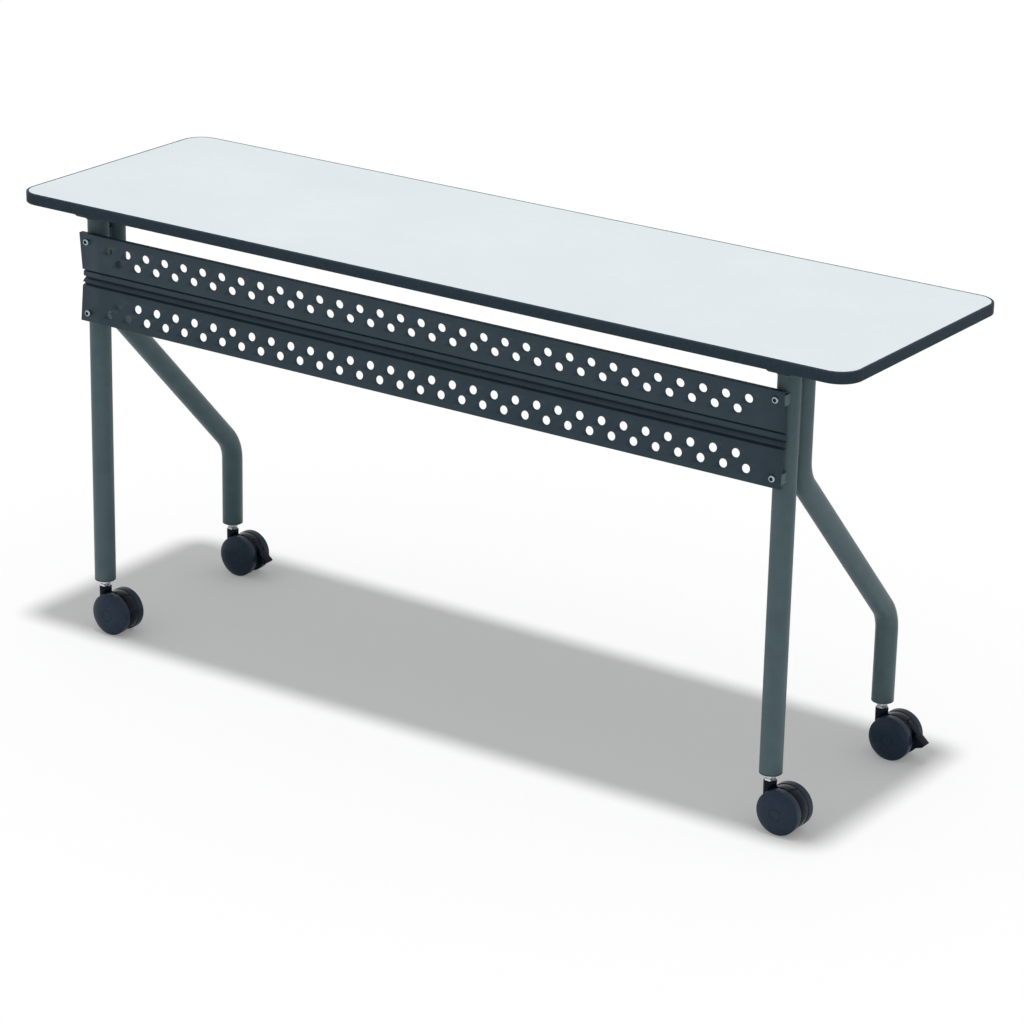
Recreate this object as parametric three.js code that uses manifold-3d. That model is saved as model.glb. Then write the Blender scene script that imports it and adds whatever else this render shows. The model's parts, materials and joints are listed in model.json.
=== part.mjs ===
// Flip top training table: a laminate top that tips up on two hinged rails,
// a pair of bent tube legs, a perforated modesty panel and four twin wheel casters.
// Millimetres, +Z up, origin on the floor under the middle of the top.
// The user sits on the +Y side and the modesty panel faces -Y.

import * as THREE from 'three';
import { mergeVertices } from 'three/addons/utils/BufferGeometryUtils.js';
import Module from 'manifold-3d';

const wasm = await Module();
wasm.setup();

// Clearances
const FIT_GAP = 0.3;
const RUNNING_GAP = 0.4;
const SIDE_CLEARANCE = 0.75;

// Table top
const TABLE_HEIGHT = 736.6;
const TOP_LENGTH = 1524;
const TOP_DEPTH = 457.2;
const TOP_THICKNESS = 18;
const TOP_CORNER_RADIUS = 38;
const EDGE_BAND_THICKNESS = 4;
const EDGE_ROUND = 3;
const EDGE_ROUND_STEPS = 3;
const SKIN_THICKNESS = 1;

// Leg tubes
const LEG_INSET = 124.5;
const TUBE_DIAMETER = 35;
const TUBE_WALL = 1.6;
const FRONT_TUBE_INSET = 53.6;
const TUBE_PITCH = 40;
const FOOT_SPREAD = 335;
const UPPER_BEND_DROP = 169;
const LOWER_BEND_RISE = 140.5;
const BEND_RADIUS = 66;
const WEB_WIDTH = 14;
const WEB_HEIGHT = 110;
const WEB_DROP = 20;

// Flip hinge
const PIVOT_INSET = 26;
const PIVOT_DROP = 4.6;
const PIVOT_PIN_RADIUS = 2;
const PIVOT_HEAD_RADIUS = 3.5;
const PIVOT_HEAD_DEPTH = 2;
const RAIL_WALL = 2;
const EAR_RADIUS = 5.5;
const NOSE_DROP = 5;
const RAIL_WEB_SETBACK = 10;
const RAIL_REAR_INSET = 80;
const RAIL_END_DEPTH = 8;
const CHEEK_DEPTH = 23;
const CHEEK_FRONT_SLOPE = 49;
const CHEEK_FLAT = 110;
const REST_PAD_THICKNESS = 4;
const REST_PAD_LENGTH = 60;
const REST_PAD_WIDTH = 26;
const HEAD_DEPTH = 7.4;
const CATCH_LIP_LENGTH = 14.5;
const CATCH_LIP_DEPTH = 10.3;
const CATCH_NOTCH = 7;

// Release latch, stored open: LATCH_ANGLE is how far it turns to lock
const LATCH_ANGLE = THREE.MathUtils.degToRad(20);
const SHAFT_RADIUS = 4;
const SHAFT_SETBACK = 18;
const SHAFT_DROP = 11.6;
const SHAFT_OVERHANG = 6;
const HOOK_HUB_RADIUS = 8.5;
const HOOK_THICKNESS = 6;
const HOOK_TOE_DEPTH = 6;
const HOOK_TOE_REACH = 23;
const HANDLE_WIDTH = 70;
const HANDLE_REACH = 110;
const HANDLE_DROP = 36;
const HANDLE_PLATE = 4;
const HANDLE_HUB_RADIUS = 7.5;
const SPRING_WIRE_RADIUS = 0.8;
const SPRING_COIL_RADIUS = 6.2;
const SPRING_PITCH = 2.3;
const SPRING_TURNS = 4;
const SPRING_LEG = 6;

// Modesty panel
const PANEL_OVERHANG = 11.5;
const PANEL_DROP = 34.6;
const PANEL_SHEET = 1.2;
const PANEL_STANDOFF = 5;
const HEM_DEPTH = 8;
const UPPER_BAND = 62;
const LOWER_BAND = 57.5;
const CHANNEL_HEIGHT = 26.5;
const CHANNEL_STEP = 4;
const LEDGE_HEIGHT = 11;
const CHANNEL_DEPTH = 3.5;
const UPPER_LEAN = 6;
const LOWER_LEAN = 5.5;
const HOLE_RADIUS = 6.75;
const HOLE_SIDES = 8;
const HOLE_PITCH = 38.1;
const ROW_SPACING = 19.05;
const PANEL_SCREW_INSET = 14;
const PANEL_SCREW_EDGE = 14;
const LUG_MARGIN = 11;
const LUG_HEIGHT = 16;
const SCREW_SHANK_RADIUS = 2.5;
const SCREW_SHANK_LENGTH = 14;
const SCREW_HEAD_RADIUS = 5.5;
const SCREW_HEAD_DEPTH = 3.2;
const SCREW_DOME_RADIUS = 4.4;
const SCREW_DOME_DEPTH = 2.2;
const SCREW_FLAT_RADIUS = 2.2;

// Casters
const WHEEL_RADIUS = 35;
const WHEEL_SPAN = 46;
const WHEEL_EDGE = 1.5;
const WHEEL_DOME = 7;
const WHEEL_GAP = 10;
const RIM_RADIUS = 29.5;
const RIM_WIDTH = 5.5;
const CASTER_TRAIL = 26.5;
const CASTER_HEIGHT = 87.5;
const AXLE_RADIUS = 4;
const AXLE_COVER = 1.5;
const HOOD_DROP = 0.5;
const HOOD_FRONT = THREE.MathUtils.degToRad(-40);
const HOOD_BACK = THREE.MathUtils.degToRad(200);
const HOOD_BRAKED_FRONT = THREE.MathUtils.degToRad(22);
const HUB_RADIUS = 10;
const NECK_RADIUS = 10.2;
const NECK_HEIGHT = 5;
const STEM_RADIUS = 5;
const STEM_RISE = 26;
const STEM_DEPTH = 18.5;
const NUT_RADIUS = 9.8;
const NUT_HEIGHT = 9;
const INSERT_FLANGE = 1.7;
const INSERT_LENGTH = 30;

// Brake pedal of the rear casters
const PEDAL_WIDTH = 17;
const PEDAL_KNUCKLE_WIDTH = 9;
const PEDAL_KNUCKLE_RADIUS = 3.4;
const PEDAL_PIN_RADIUS = 1.6;
const PEDAL_PIN_ANGLE = THREE.MathUtils.degToRad(50);
const PEDAL_SLOT_END = THREE.MathUtils.degToRad(60);
const PEDAL_SLOT_FLOOR = 22;
const PEDAL_REACH = 54;
const PEDAL_TIP_RISE = -3;
const PEDAL_ROOT_RADIUS = 38.5;
const PEDAL_ROOT_ANGLE = THREE.MathUtils.degToRad(-16);
const PEDAL_SHOULDER_RADIUS = 40;
const PEDAL_SHOULDER_ANGLE = THREE.MathUtils.degToRad(16);

// Roundness of turned pieces
const TUBE_ARC_STEPS = 8;
const BEND_STEPS = 5;
const WHEEL_SIDES = 24;
const PIN_SIDES = 16;
const SCREW_SIDES = 12;
const NUT_SIDES = 6;
const SPRING_STEPS = 8;
const SPRING_SIDES = 5;

// Heights and places that follow from the sizes above
const UNDERSIDE_Z = TABLE_HEIGHT - TOP_THICKNESS;
const FRONT_EDGE_Y = -TOP_DEPTH / 2;
const TUBE_RADIUS = TUBE_DIAMETER / 2;
const BORE_RADIUS = TUBE_RADIUS - TUBE_WALL;
const LEG_SPACING = TOP_LENGTH - 2 * LEG_INSET;
const LEG_X = LEG_SPACING / 2;
const FRONT_TUBE_Y = FRONT_EDGE_Y + FRONT_TUBE_INSET;
const REAR_TUBE_Y = FRONT_TUBE_Y + TUBE_PITCH;
const REAR_FOOT_Y = FRONT_TUBE_Y + FOOT_SPREAD;
const TUBE_FRONT_Y = FRONT_TUBE_Y - TUBE_RADIUS;
const PIVOT_Y = FRONT_EDGE_Y + PIVOT_INSET;
const PIVOT_Z = UNDERSIDE_Z - PIVOT_DROP;
const RAIL_TOP_Z = UNDERSIDE_Z - FIT_GAP;
const RAIL_WEB_Z = RAIL_TOP_Z - RAIL_WALL;
const RAIL_INNER_WIDTH = TUBE_DIAMETER + 2 * SIDE_CLEARANCE;
const RAIL_OUTER_WIDTH = RAIL_INNER_WIDTH + 2 * RAIL_WALL;
const RAIL_REAR_Y = TOP_DEPTH / 2 - RAIL_REAR_INSET;
const NOSE_RADIUS = PIVOT_DROP - RUNNING_GAP;
const HEAD_TOP_Z = RAIL_WEB_Z - REST_PAD_THICKNESS - 2 * FIT_GAP;
const HEAD_BOTTOM_Z = HEAD_TOP_Z - HEAD_DEPTH;
const TUBE_TOP_Z = HEAD_BOTTOM_Z - FIT_GAP;
const REAR_TUBE_BACK_Y = REAR_TUBE_Y + TUBE_RADIUS;
const CATCH_Y = REAR_TUBE_BACK_Y + CATCH_LIP_LENGTH;
const CATCH_Z = HEAD_BOTTOM_Z - CATCH_LIP_DEPTH;
const SHAFT_Y = CATCH_Y + SHAFT_SETBACK;
const SHAFT_Z = UNDERSIDE_Z - SHAFT_DROP;
const PANEL_TOP_Z = UNDERSIDE_Z - PANEL_DROP;
const PANEL_FLOOR_Y = TUBE_FRONT_Y - PANEL_STANDOFF - PANEL_SHEET;
const CHANNEL_TOP_Z = PANEL_TOP_Z - UPPER_BAND;
const CHANNEL_BOTTOM_Z = CHANNEL_TOP_Z - CHANNEL_HEIGHT;
const PANEL_BOTTOM_Z = CHANNEL_BOTTOM_Z - LOWER_BAND;
const PANEL_FOLD_Y = PANEL_FLOOR_Y - CHANNEL_DEPTH;
const PANEL_LENGTH = LEG_SPACING + 2 * PANEL_OVERHANG;
const PANEL_SCREW_X = PANEL_LENGTH / 2 - PANEL_SCREW_INSET;
const HOLE_COUNT = 2 * Math.floor((LEG_X - TUBE_RADIUS) / HOLE_PITCH);
const AXLE_X = CASTER_TRAIL;
const HALF_GAP = WHEEL_GAP / 2;
const HALF_SPAN = WHEEL_SPAN / 2;
const TREAD_START = HALF_GAP + RIM_WIDTH;
const HOOD_HALF_WIDTH = TREAD_START - 2 * FIT_GAP;
const HOOD_RADIUS = WHEEL_RADIUS - HOOD_DROP;
const NUT_TOP_Z = CASTER_HEIGHT - FIT_GAP - INSERT_FLANGE - FIT_GAP;
const NUT_BOTTOM_Z = NUT_TOP_Z - NUT_HEIGHT;
const NECK_TOP_Z = NUT_BOTTOM_Z - FIT_GAP;
const NECK_BOTTOM_Z = NECK_TOP_Z - NECK_HEIGHT;
const STEM_BOTTOM_Z = NECK_TOP_Z - STEM_DEPTH;

const SIDES = [
  { name: 'left', x: -LEG_X, sign: -1 },
  { name: 'right', x: LEG_X, sign: 1 },
];

const FINISH = {
  laminate: { color: 0xe0e8ec, roughness: 0.45, metalness: 0 },
  board: { color: 0xa88a62, roughness: 0.9, metalness: 0 },
  backer: { color: 0x8a8e90, roughness: 0.7, metalness: 0 },
  edge: { color: 0x262d37, roughness: 0.5, metalness: 0 },
  frame: { color: 0x4c5c5f, roughness: 0.45, metalness: 0.5 },
  panel: { color: 0x333e46, roughness: 0.5, metalness: 0.3 },
  zinc: { color: 0xb9bcbb, roughness: 0.3, metalness: 1 },
  blackSteel: { color: 0x23272b, roughness: 0.5, metalness: 0.4 },
  spring: { color: 0x8f9497, roughness: 0.35, metalness: 1 },
  plastic: { color: 0x20262d, roughness: 0.35, metalness: 0 },
  rubber: { color: 0x1c1d1f, roughness: 0.9, metalness: 0 },
};

const MATERIALS = {};
for (const [name, values] of Object.entries(FINISH)) {
  MATERIALS[name] = new THREE.MeshStandardMaterial(values);
}

const table = new THREE.Group();

function addPiece(name, geometry, material) {
  const piece = new THREE.Mesh(geometry, MATERIALS[material]);
  piece.name = name;
  table.add(piece);
}

// Keeps only corner positions, joined where they meet, without collapsed triangles.
function weld(geometry) {
  const bare = geometry.clone();
  bare.deleteAttribute('normal');
  bare.deleteAttribute('uv');
  const joined = mergeVertices(bare);
  const corners = joined.index.array;
  const kept = [];
  for (let i = 0; i < corners.length; i += 3) {
    const [a, b, c] = corners.slice(i, i + 3);
    if (a !== b && b !== c && c !== a) kept.push(a, b, c);
  }
  joined.setIndex(kept);
  return joined;
}

function toSolid(geometry) {
  const welded = weld(geometry);
  return new wasm.Manifold(new wasm.Mesh({
    numProp: 3,
    vertProperties: new Float32Array(welded.attributes.position.array),
    triVerts: new Uint32Array(welded.index.array),
  }));
}

function toGeometry(body) {
  const mesh = body.getMesh();
  const geometry = new THREE.BufferGeometry();
  geometry.setAttribute('position', new THREE.BufferAttribute(mesh.vertProperties, 3));
  geometry.setIndex(new THREE.BufferAttribute(mesh.triVerts, 1));
  geometry.computeVertexNormals();
  return geometry;
}

function join(geometries) {
  return toGeometry(wasm.Manifold.union(geometries.map(toSolid)));
}

function cut(geometry, tools) {
  return toGeometry(toSolid(geometry).subtract(wasm.Manifold.union(tools.map(toSolid))));
}

// A flat outline in Y and Z, made thick along X about the given middle.
function extrudeAlongX(shape, thickness, middle = 0) {
  const options = { depth: thickness, bevelEnabled: false, curveSegments: TUBE_ARC_STEPS };
  const geometry = new THREE.ExtrudeGeometry(shape, options);
  const turn = new THREE.Matrix4().makeBasis(
    new THREE.Vector3(0, 1, 0),
    new THREE.Vector3(0, 0, 1),
    new THREE.Vector3(1, 0, 0),
  );
  return geometry.applyMatrix4(turn).translate(middle - thickness / 2, 0, 0);
}

// A flat outline in X and Z, made thick along Y about the given middle.
function extrudeAlongY(shape, thickness, middle = 0) {
  const options = { depth: thickness, bevelEnabled: false, curveSegments: TUBE_ARC_STEPS };
  const geometry = new THREE.ExtrudeGeometry(shape, options);
  return geometry.rotateX(Math.PI / 2).translate(0, middle + thickness / 2, 0);
}

function cylinderX(radius, length, sides = PIN_SIDES) {
  return new THREE.CylinderGeometry(radius, radius, length, sides).rotateZ(-Math.PI / 2);
}

function cylinderY(radius, length, sides = PIN_SIDES) {
  return new THREE.CylinderGeometry(radius, radius, length, sides);
}

function cylinderZ(radius, low, high, sides = PIN_SIDES) {
  const geometry = new THREE.CylinderGeometry(radius, radius, high - low, sides);
  return geometry.rotateX(Math.PI / 2).translate(0, 0, (low + high) / 2);
}

function outline(points) {
  return new THREE.Shape(points.map(([a, b]) => new THREE.Vector2(a, b)));
}

function disc(radius, a = 0, b = 0) {
  return new THREE.Shape().absarc(a, b, radius, 0, 2 * Math.PI, false);
}

function punch(shape, radius, a = 0, b = 0) {
  shape.holes.push(new THREE.Path().absarc(a, b, radius, 0, 2 * Math.PI, true));
  return shape;
}

function ring(outer, inner) {
  return punch(disc(outer), inner);
}

// A path that keeps its cross sections only at the given stations.
class StationPath extends THREE.Curve {
  constructor(points, tangents) {
    super();
    this.points = points;
    this.tangents = tangents;
  }

  station(u) {
    return Math.round(u * (this.points.length - 1));
  }

  getPointAt(u, target = new THREE.Vector3()) {
    return target.copy(this.points[this.station(u)]);
  }

  getTangentAt(u, target = new THREE.Vector3()) {
    return target.copy(this.tangents[this.station(u)]);
  }
}

function sweep(shape, path, curveSegments) {
  return new THREE.ExtrudeGeometry(shape, {
    steps: path.points.length - 1,
    extrudePath: path,
    curveSegments,
    bevelEnabled: false,
  });
}

// Table top
function roundedRectangle(inset) {
  const x = TOP_LENGTH / 2 - inset;
  const y = TOP_DEPTH / 2 - inset;
  const radius = TOP_CORNER_RADIUS - inset;
  const shape = new THREE.Shape();
  shape.absarc(x - radius, y - radius, radius, 0, Math.PI / 2);
  shape.absarc(radius - x, y - radius, radius, Math.PI / 2, Math.PI);
  shape.absarc(radius - x, radius - y, radius, Math.PI, 1.5 * Math.PI);
  shape.absarc(x - radius, radius - y, radius, 1.5 * Math.PI, 2 * Math.PI);
  return shape;
}

function slab(inset, low, high) {
  const options = { depth: high - low, bevelEnabled: false, curveSegments: BEND_STEPS };
  return new THREE.ExtrudeGeometry(roundedRectangle(inset), options).translate(0, 0, low);
}

function edgeBand() {
  const softEdged = new THREE.ExtrudeGeometry(roundedRectangle(EDGE_ROUND), {
    depth: TOP_THICKNESS - 2 * EDGE_ROUND,
    bevelSize: EDGE_ROUND,
    bevelThickness: EDGE_ROUND,
    bevelSegments: EDGE_ROUND_STEPS,
    curveSegments: BEND_STEPS,
  }).translate(0, 0, UNDERSIDE_Z + EDGE_ROUND);
  const opening = slab(EDGE_BAND_THICKNESS, UNDERSIDE_Z - TOP_THICKNESS, TABLE_HEIGHT + TOP_THICKNESS);
  return cut(softEdged, [opening]);
}

function buildTop() {
  const inset = EDGE_BAND_THICKNESS + FIT_GAP;
  const laminateZ = TABLE_HEIGHT - SKIN_THICKNESS;
  const backerZ = UNDERSIDE_Z + SKIN_THICKNESS;
  addPiece('tabletop_edge_band', edgeBand(), 'edge');
  addPiece('tabletop_laminate', slab(inset, laminateZ, TABLE_HEIGHT), 'laminate');
  addPiece('tabletop_core', slab(inset, backerZ + FIT_GAP, laminateZ - FIT_GAP), 'board');
  addPiece('tabletop_backer', slab(inset, UNDERSIDE_Z, backerZ), 'backer');
}

// Flip hinge
function cheekOutline() {
  const kneeY = PIVOT_Y + CHEEK_FRONT_SLOPE;
  const lowZ = RAIL_TOP_Z - CHEEK_DEPTH;
  const shape = new THREE.Shape();
  shape.moveTo(PIVOT_Y - EAR_RADIUS, RAIL_TOP_Z);
  shape.lineTo(PIVOT_Y - EAR_RADIUS, PIVOT_Z);
  shape.absarc(PIVOT_Y, PIVOT_Z, EAR_RADIUS, Math.PI, 1.5 * Math.PI);
  shape.lineTo(kneeY, lowZ);
  shape.lineTo(kneeY + CHEEK_FLAT, lowZ);
  shape.lineTo(RAIL_REAR_Y, RAIL_TOP_Z - RAIL_END_DEPTH);
  shape.lineTo(RAIL_REAR_Y, RAIL_TOP_Z);
  punch(shape, PIVOT_PIN_RADIUS + FIT_GAP, PIVOT_Y, PIVOT_Z);
  return punch(shape, SHAFT_RADIUS + RUNNING_GAP, SHAFT_Y, SHAFT_Z);
}

function rail() {
  const webFront = PIVOT_Y + RAIL_WEB_SETBACK;
  const web = outline([
    [webFront, RAIL_WEB_Z],
    [RAIL_REAR_Y, RAIL_WEB_Z],
    [RAIL_REAR_Y, RAIL_TOP_Z],
    [webFront, RAIL_TOP_Z],
  ]);
  const cheekMiddle = (RAIL_INNER_WIDTH + RAIL_WALL) / 2;
  return join([
    extrudeAlongX(web, RAIL_OUTER_WIDTH),
    extrudeAlongX(cheekOutline(), RAIL_WALL, cheekMiddle),
    extrudeAlongX(cheekOutline(), RAIL_WALL, -cheekMiddle),
  ]);
}

// The bar across both tube tops: hinge eye and stop face in front, catch lip behind.
function legHead() {
  const shoulder = HEAD_TOP_Z - PIVOT_Z;
  const shoulderAngle = Math.asin(shoulder / NOSE_RADIUS);
  const shape = new THREE.Shape();
  shape.absarc(PIVOT_Y, PIVOT_Z, NOSE_RADIUS, shoulderAngle, Math.PI);
  shape.lineTo(PIVOT_Y - NOSE_RADIUS, PIVOT_Z - NOSE_DROP);
  shape.lineTo(PIVOT_Y, PIVOT_Z - NOSE_DROP);
  shape.lineTo(TUBE_FRONT_Y, HEAD_BOTTOM_Z);
  shape.lineTo(REAR_TUBE_BACK_Y + FIT_GAP, HEAD_BOTTOM_Z);
  shape.lineTo(REAR_TUBE_BACK_Y + FIT_GAP, CATCH_Z);
  shape.lineTo(CATCH_Y, CATCH_Z);
  shape.lineTo(CATCH_Y, HEAD_BOTTOM_Z);
  shape.lineTo(CATCH_Y - CATCH_NOTCH, HEAD_BOTTOM_Z);
  shape.lineTo(CATCH_Y - CATCH_NOTCH, HEAD_TOP_Z);
  punch(shape, PIVOT_PIN_RADIUS + FIT_GAP, PIVOT_Y, PIVOT_Z);
  return extrudeAlongX(shape, TUBE_DIAMETER);
}

function pivotPin() {
  const length = RAIL_OUTER_WIDTH + 2 * FIT_GAP;
  const head = cylinderX(PIVOT_HEAD_RADIUS, PIVOT_HEAD_DEPTH);
  const headX = (length + PIVOT_HEAD_DEPTH) / 2;
  return join([
    cylinderX(PIVOT_PIN_RADIUS, length + PIVOT_HEAD_DEPTH),
    head.clone().translate(headX, 0, 0),
    head.clone().translate(-headX, 0, 0),
  ]).translate(0, PIVOT_Y, PIVOT_Z);
}

function restPad() {
  const middleY = (FRONT_TUBE_Y + REAR_TUBE_Y) / 2;
  const pad = new THREE.BoxGeometry(REST_PAD_WIDTH, REST_PAD_LENGTH, REST_PAD_THICKNESS);
  return pad.translate(0, middleY, HEAD_TOP_Z + FIT_GAP + REST_PAD_THICKNESS / 2);
}

// Release latch. The outlines are drawn locked, then turned open about the shaft.
function openLatch(geometry) {
  return geometry.rotateX(LATCH_ANGLE).translate(0, SHAFT_Y, SHAFT_Z);
}

function latchHook() {
  const toeTop = CATCH_Z - 2 * FIT_GAP - SHAFT_Z;
  const shape = new THREE.Shape();
  shape.absarc(0, 0, HOOK_HUB_RADIUS, 0, Math.PI);
  shape.lineTo(-HOOK_HUB_RADIUS, toeTop);
  shape.lineTo(-HOOK_TOE_REACH, toeTop);
  shape.lineTo(-HOOK_TOE_REACH, toeTop - HOOK_TOE_DEPTH);
  shape.lineTo(HOOK_HUB_RADIUS, toeTop - HOOK_TOE_DEPTH);
  punch(shape, SHAFT_RADIUS + FIT_GAP);
  return openLatch(extrudeAlongX(shape, HOOK_THICKNESS));
}

function releaseHandle() {
  const rootY = HANDLE_HUB_RADIUS - HANDLE_PLATE / 2;
  const plate = outline([
    [rootY, HANDLE_PLATE / 2],
    [rootY, -HANDLE_PLATE / 2],
    [HANDLE_REACH, -HANDLE_DROP - HANDLE_PLATE / 2],
    [HANDLE_REACH, HANDLE_PLATE / 2 - HANDLE_DROP],
  ]);
  const hub = ring(HANDLE_HUB_RADIUS, SHAFT_RADIUS + FIT_GAP);
  return openLatch(join([
    extrudeAlongX(hub, HANDLE_WIDTH),
    extrudeAlongX(plate, HANDLE_WIDTH),
  ]));
}

function releaseShaft() {
  const length = LEG_SPACING + RAIL_OUTER_WIDTH + 2 * SHAFT_OVERHANG;
  return cylinderX(SHAFT_RADIUS, length).translate(0, SHAFT_Y, SHAFT_Z);
}

// Centre line of a torsion spring round the shaft, with a straight leg at each end.
function springPath() {
  const startX = HOOK_THICKNESS / 2 + SPRING_PITCH;
  const turns = SPRING_TURNS * SPRING_STEPS;
  const points = [];
  for (let i = 0; i <= turns; i += 1) {
    const angle = (2 * Math.PI * i) / SPRING_STEPS;
    const x = startX + (SPRING_PITCH * i) / SPRING_STEPS;
    const y = SPRING_COIL_RADIUS * Math.cos(angle);
    points.push(new THREE.Vector3(x, y, SPRING_COIL_RADIUS * Math.sin(angle)));
  }
  const first = points[0].clone().add(new THREE.Vector3(0, 0, -SPRING_LEG));
  const last = points[turns].clone().add(new THREE.Vector3(0, 0, SPRING_LEG));
  points.unshift(first);
  points.push(last);
  const tangents = points.map((point, i) => {
    const before = points[Math.max(i - 1, 0)];
    const after = points[Math.min(i + 1, points.length - 1)];
    return after.clone().sub(before).normalize();
  });
  return new StationPath(points, tangents);
}

function leastSelfGap(points) {
  let least = Infinity;
  for (let i = 0; i < points.length; i += 1) {
    for (let j = i + SPRING_STEPS / 2; j < points.length; j += 1) {
      least = Math.min(least, points[i].distanceTo(points[j]));
    }
  }
  return least - 2 * SPRING_WIRE_RADIUS;
}

function returnSpring(path) {
  const wire = new THREE.Shape();
  for (let i = 0; i < SPRING_SIDES; i += 1) {
    const angle = (2 * Math.PI * i) / SPRING_SIDES;
    const corner = [SPRING_WIRE_RADIUS * Math.cos(angle), SPRING_WIRE_RADIUS * Math.sin(angle)];
    if (i === 0) wire.moveTo(...corner);
    else wire.lineTo(...corner);
  }
  return sweep(wire, path, 1).translate(0, SHAFT_Y, SHAFT_Z);
}

function buildFlip() {
  const spring = springPath();
  console.log(`return spring least self-gap ${leastSelfGap(spring.points).toFixed(2)} mm`);
  for (const side of SIDES) {
    addPiece(`${side.name}_flip_rail`, rail().translate(side.x, 0, 0), 'blackSteel');
    addPiece(`${side.name}_leg_head`, legHead().translate(side.x, 0, 0), 'blackSteel');
    addPiece(`${side.name}_pivot_pin`, pivotPin().translate(side.x, 0, 0), 'zinc');
    addPiece(`${side.name}_rest_pad`, restPad().translate(side.x, 0, 0), 'rubber');
    addPiece(`${side.name}_latch_hook`, latchHook().translate(side.x, 0, 0), 'blackSteel');
    addPiece(`${side.name}_return_spring`, returnSpring(spring).translate(side.x, 0, 0), 'spring');
  }
  addPiece('release_shaft', releaseShaft(), 'zinc');
  addPiece('release_handle', releaseHandle(), 'blackSteel');
}

// Legs
function frontTube() {
  const options = { depth: TUBE_TOP_Z - CASTER_HEIGHT, bevelEnabled: false, curveSegments: TUBE_ARC_STEPS };
  const tube = new THREE.ExtrudeGeometry(ring(TUBE_RADIUS, BORE_RADIUS), options);
  return tube.translate(0, FRONT_TUBE_Y, CASTER_HEIGHT);
}

// Centre line of the rear tube: straight down, back along a slant, straight down again.
function rearTubePath() {
  const upper = new THREE.Vector2(REAR_TUBE_Y, TUBE_TOP_Z - UPPER_BEND_DROP);
  const lower = new THREE.Vector2(REAR_FOOT_Y, CASTER_HEIGHT + LOWER_BEND_RISE);
  const slant = Math.atan2(lower.x - upper.x, upper.y - lower.y);
  const tangentLength = BEND_RADIUS * Math.tan(slant / 2);
  const points = [new THREE.Vector3(0, REAR_TUBE_Y, TUBE_TOP_Z)];
  const tangents = [new THREE.Vector3(0, 0, -1)];
  const bends = [
    { y: upper.x + BEND_RADIUS, z: upper.y + tangentLength, from: 0, turn: slant },
    { y: lower.x - BEND_RADIUS, z: lower.y - tangentLength, from: slant, turn: -slant },
  ];
  for (const bend of bends) {
    const inward = Math.sign(bend.turn);
    for (let i = 0; i <= BEND_STEPS; i += 1) {
      const angle = bend.from + (bend.turn * i) / BEND_STEPS;
      const y = bend.y - inward * BEND_RADIUS * Math.cos(angle);
      points.push(new THREE.Vector3(0, y, bend.z - inward * BEND_RADIUS * Math.sin(angle)));
      tangents.push(new THREE.Vector3(0, Math.sin(angle), -Math.cos(angle)));
    }
  }
  points.push(new THREE.Vector3(0, REAR_FOOT_Y, CASTER_HEIGHT));
  tangents.push(new THREE.Vector3(0, 0, -1));
  return new StationPath(points, tangents);
}

function tubeWeb() {
  const depth = TUBE_PITCH - TUBE_DIAMETER - 2 * FIT_GAP;
  const web = new THREE.BoxGeometry(WEB_WIDTH, depth, WEB_HEIGHT);
  return web.translate(0, (FRONT_TUBE_Y + REAR_TUBE_Y) / 2, TUBE_TOP_Z - WEB_DROP - WEB_HEIGHT / 2);
}

function buildLegs() {
  for (const side of SIDES) {
    const rearTube = sweep(ring(TUBE_RADIUS, BORE_RADIUS), rearTubePath(), TUBE_ARC_STEPS);
    addPiece(`${side.name}_front_tube`, frontTube().translate(side.x, 0, 0), 'frame');
    addPiece(`${side.name}_rear_tube`, rearTube.translate(side.x, 0, 0), 'frame');
    addPiece(`${side.name}_tube_web`, tubeWeb().translate(side.x, 0, 0), 'frame');
  }
}

// Modesty panel
const PANEL_SCREWS = [
  { name: 'upper', z: PANEL_TOP_Z - PANEL_SCREW_EDGE },
  { name: 'lower', z: PANEL_BOTTOM_Z + PANEL_SCREW_EDGE },
];

// Front face of the leaning bands at a given height.
function panelFrontY(z) {
  if (z >= CHANNEL_TOP_Z) return PANEL_FOLD_Y - (UPPER_LEAN * (z - CHANNEL_TOP_Z)) / UPPER_BAND;
  return PANEL_FOLD_Y - (LOWER_LEAN * (CHANNEL_BOTTOM_Z - z)) / LOWER_BAND;
}

function panelSheet() {
  const front = [
    [panelFrontY(PANEL_TOP_Z), PANEL_TOP_Z],
    [PANEL_FOLD_Y, CHANNEL_TOP_Z],
    [PANEL_FLOOR_Y, CHANNEL_TOP_Z - CHANNEL_STEP],
    [PANEL_FLOOR_Y, CHANNEL_BOTTOM_Z + LEDGE_HEIGHT],
    [PANEL_FOLD_Y, CHANNEL_BOTTOM_Z],
    [panelFrontY(PANEL_BOTTOM_Z), PANEL_BOTTOM_Z],
  ];
  const back = front.map(([y, z]) => [y + PANEL_SHEET, z]).reverse();
  const sheet = extrudeAlongX(outline([...front, ...back]), PANEL_LENGTH);
  return join([sheet, panelHem(PANEL_TOP_Z, -PANEL_SHEET), panelHem(PANEL_BOTTOM_Z, PANEL_SHEET)]);
}

// Edge folded back along the whole panel.
function panelHem(edgeZ, thickness) {
  const frontY = panelFrontY(edgeZ) + PANEL_SHEET / 2;
  const backY = frontY + HEM_DEPTH;
  const innerZ = edgeZ + thickness;
  const lip = outline([[frontY, edgeZ], [backY, edgeZ], [backY, innerZ], [frontY, innerZ]]);
  return extrudeAlongX(lip, PANEL_LENGTH);
}

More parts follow.
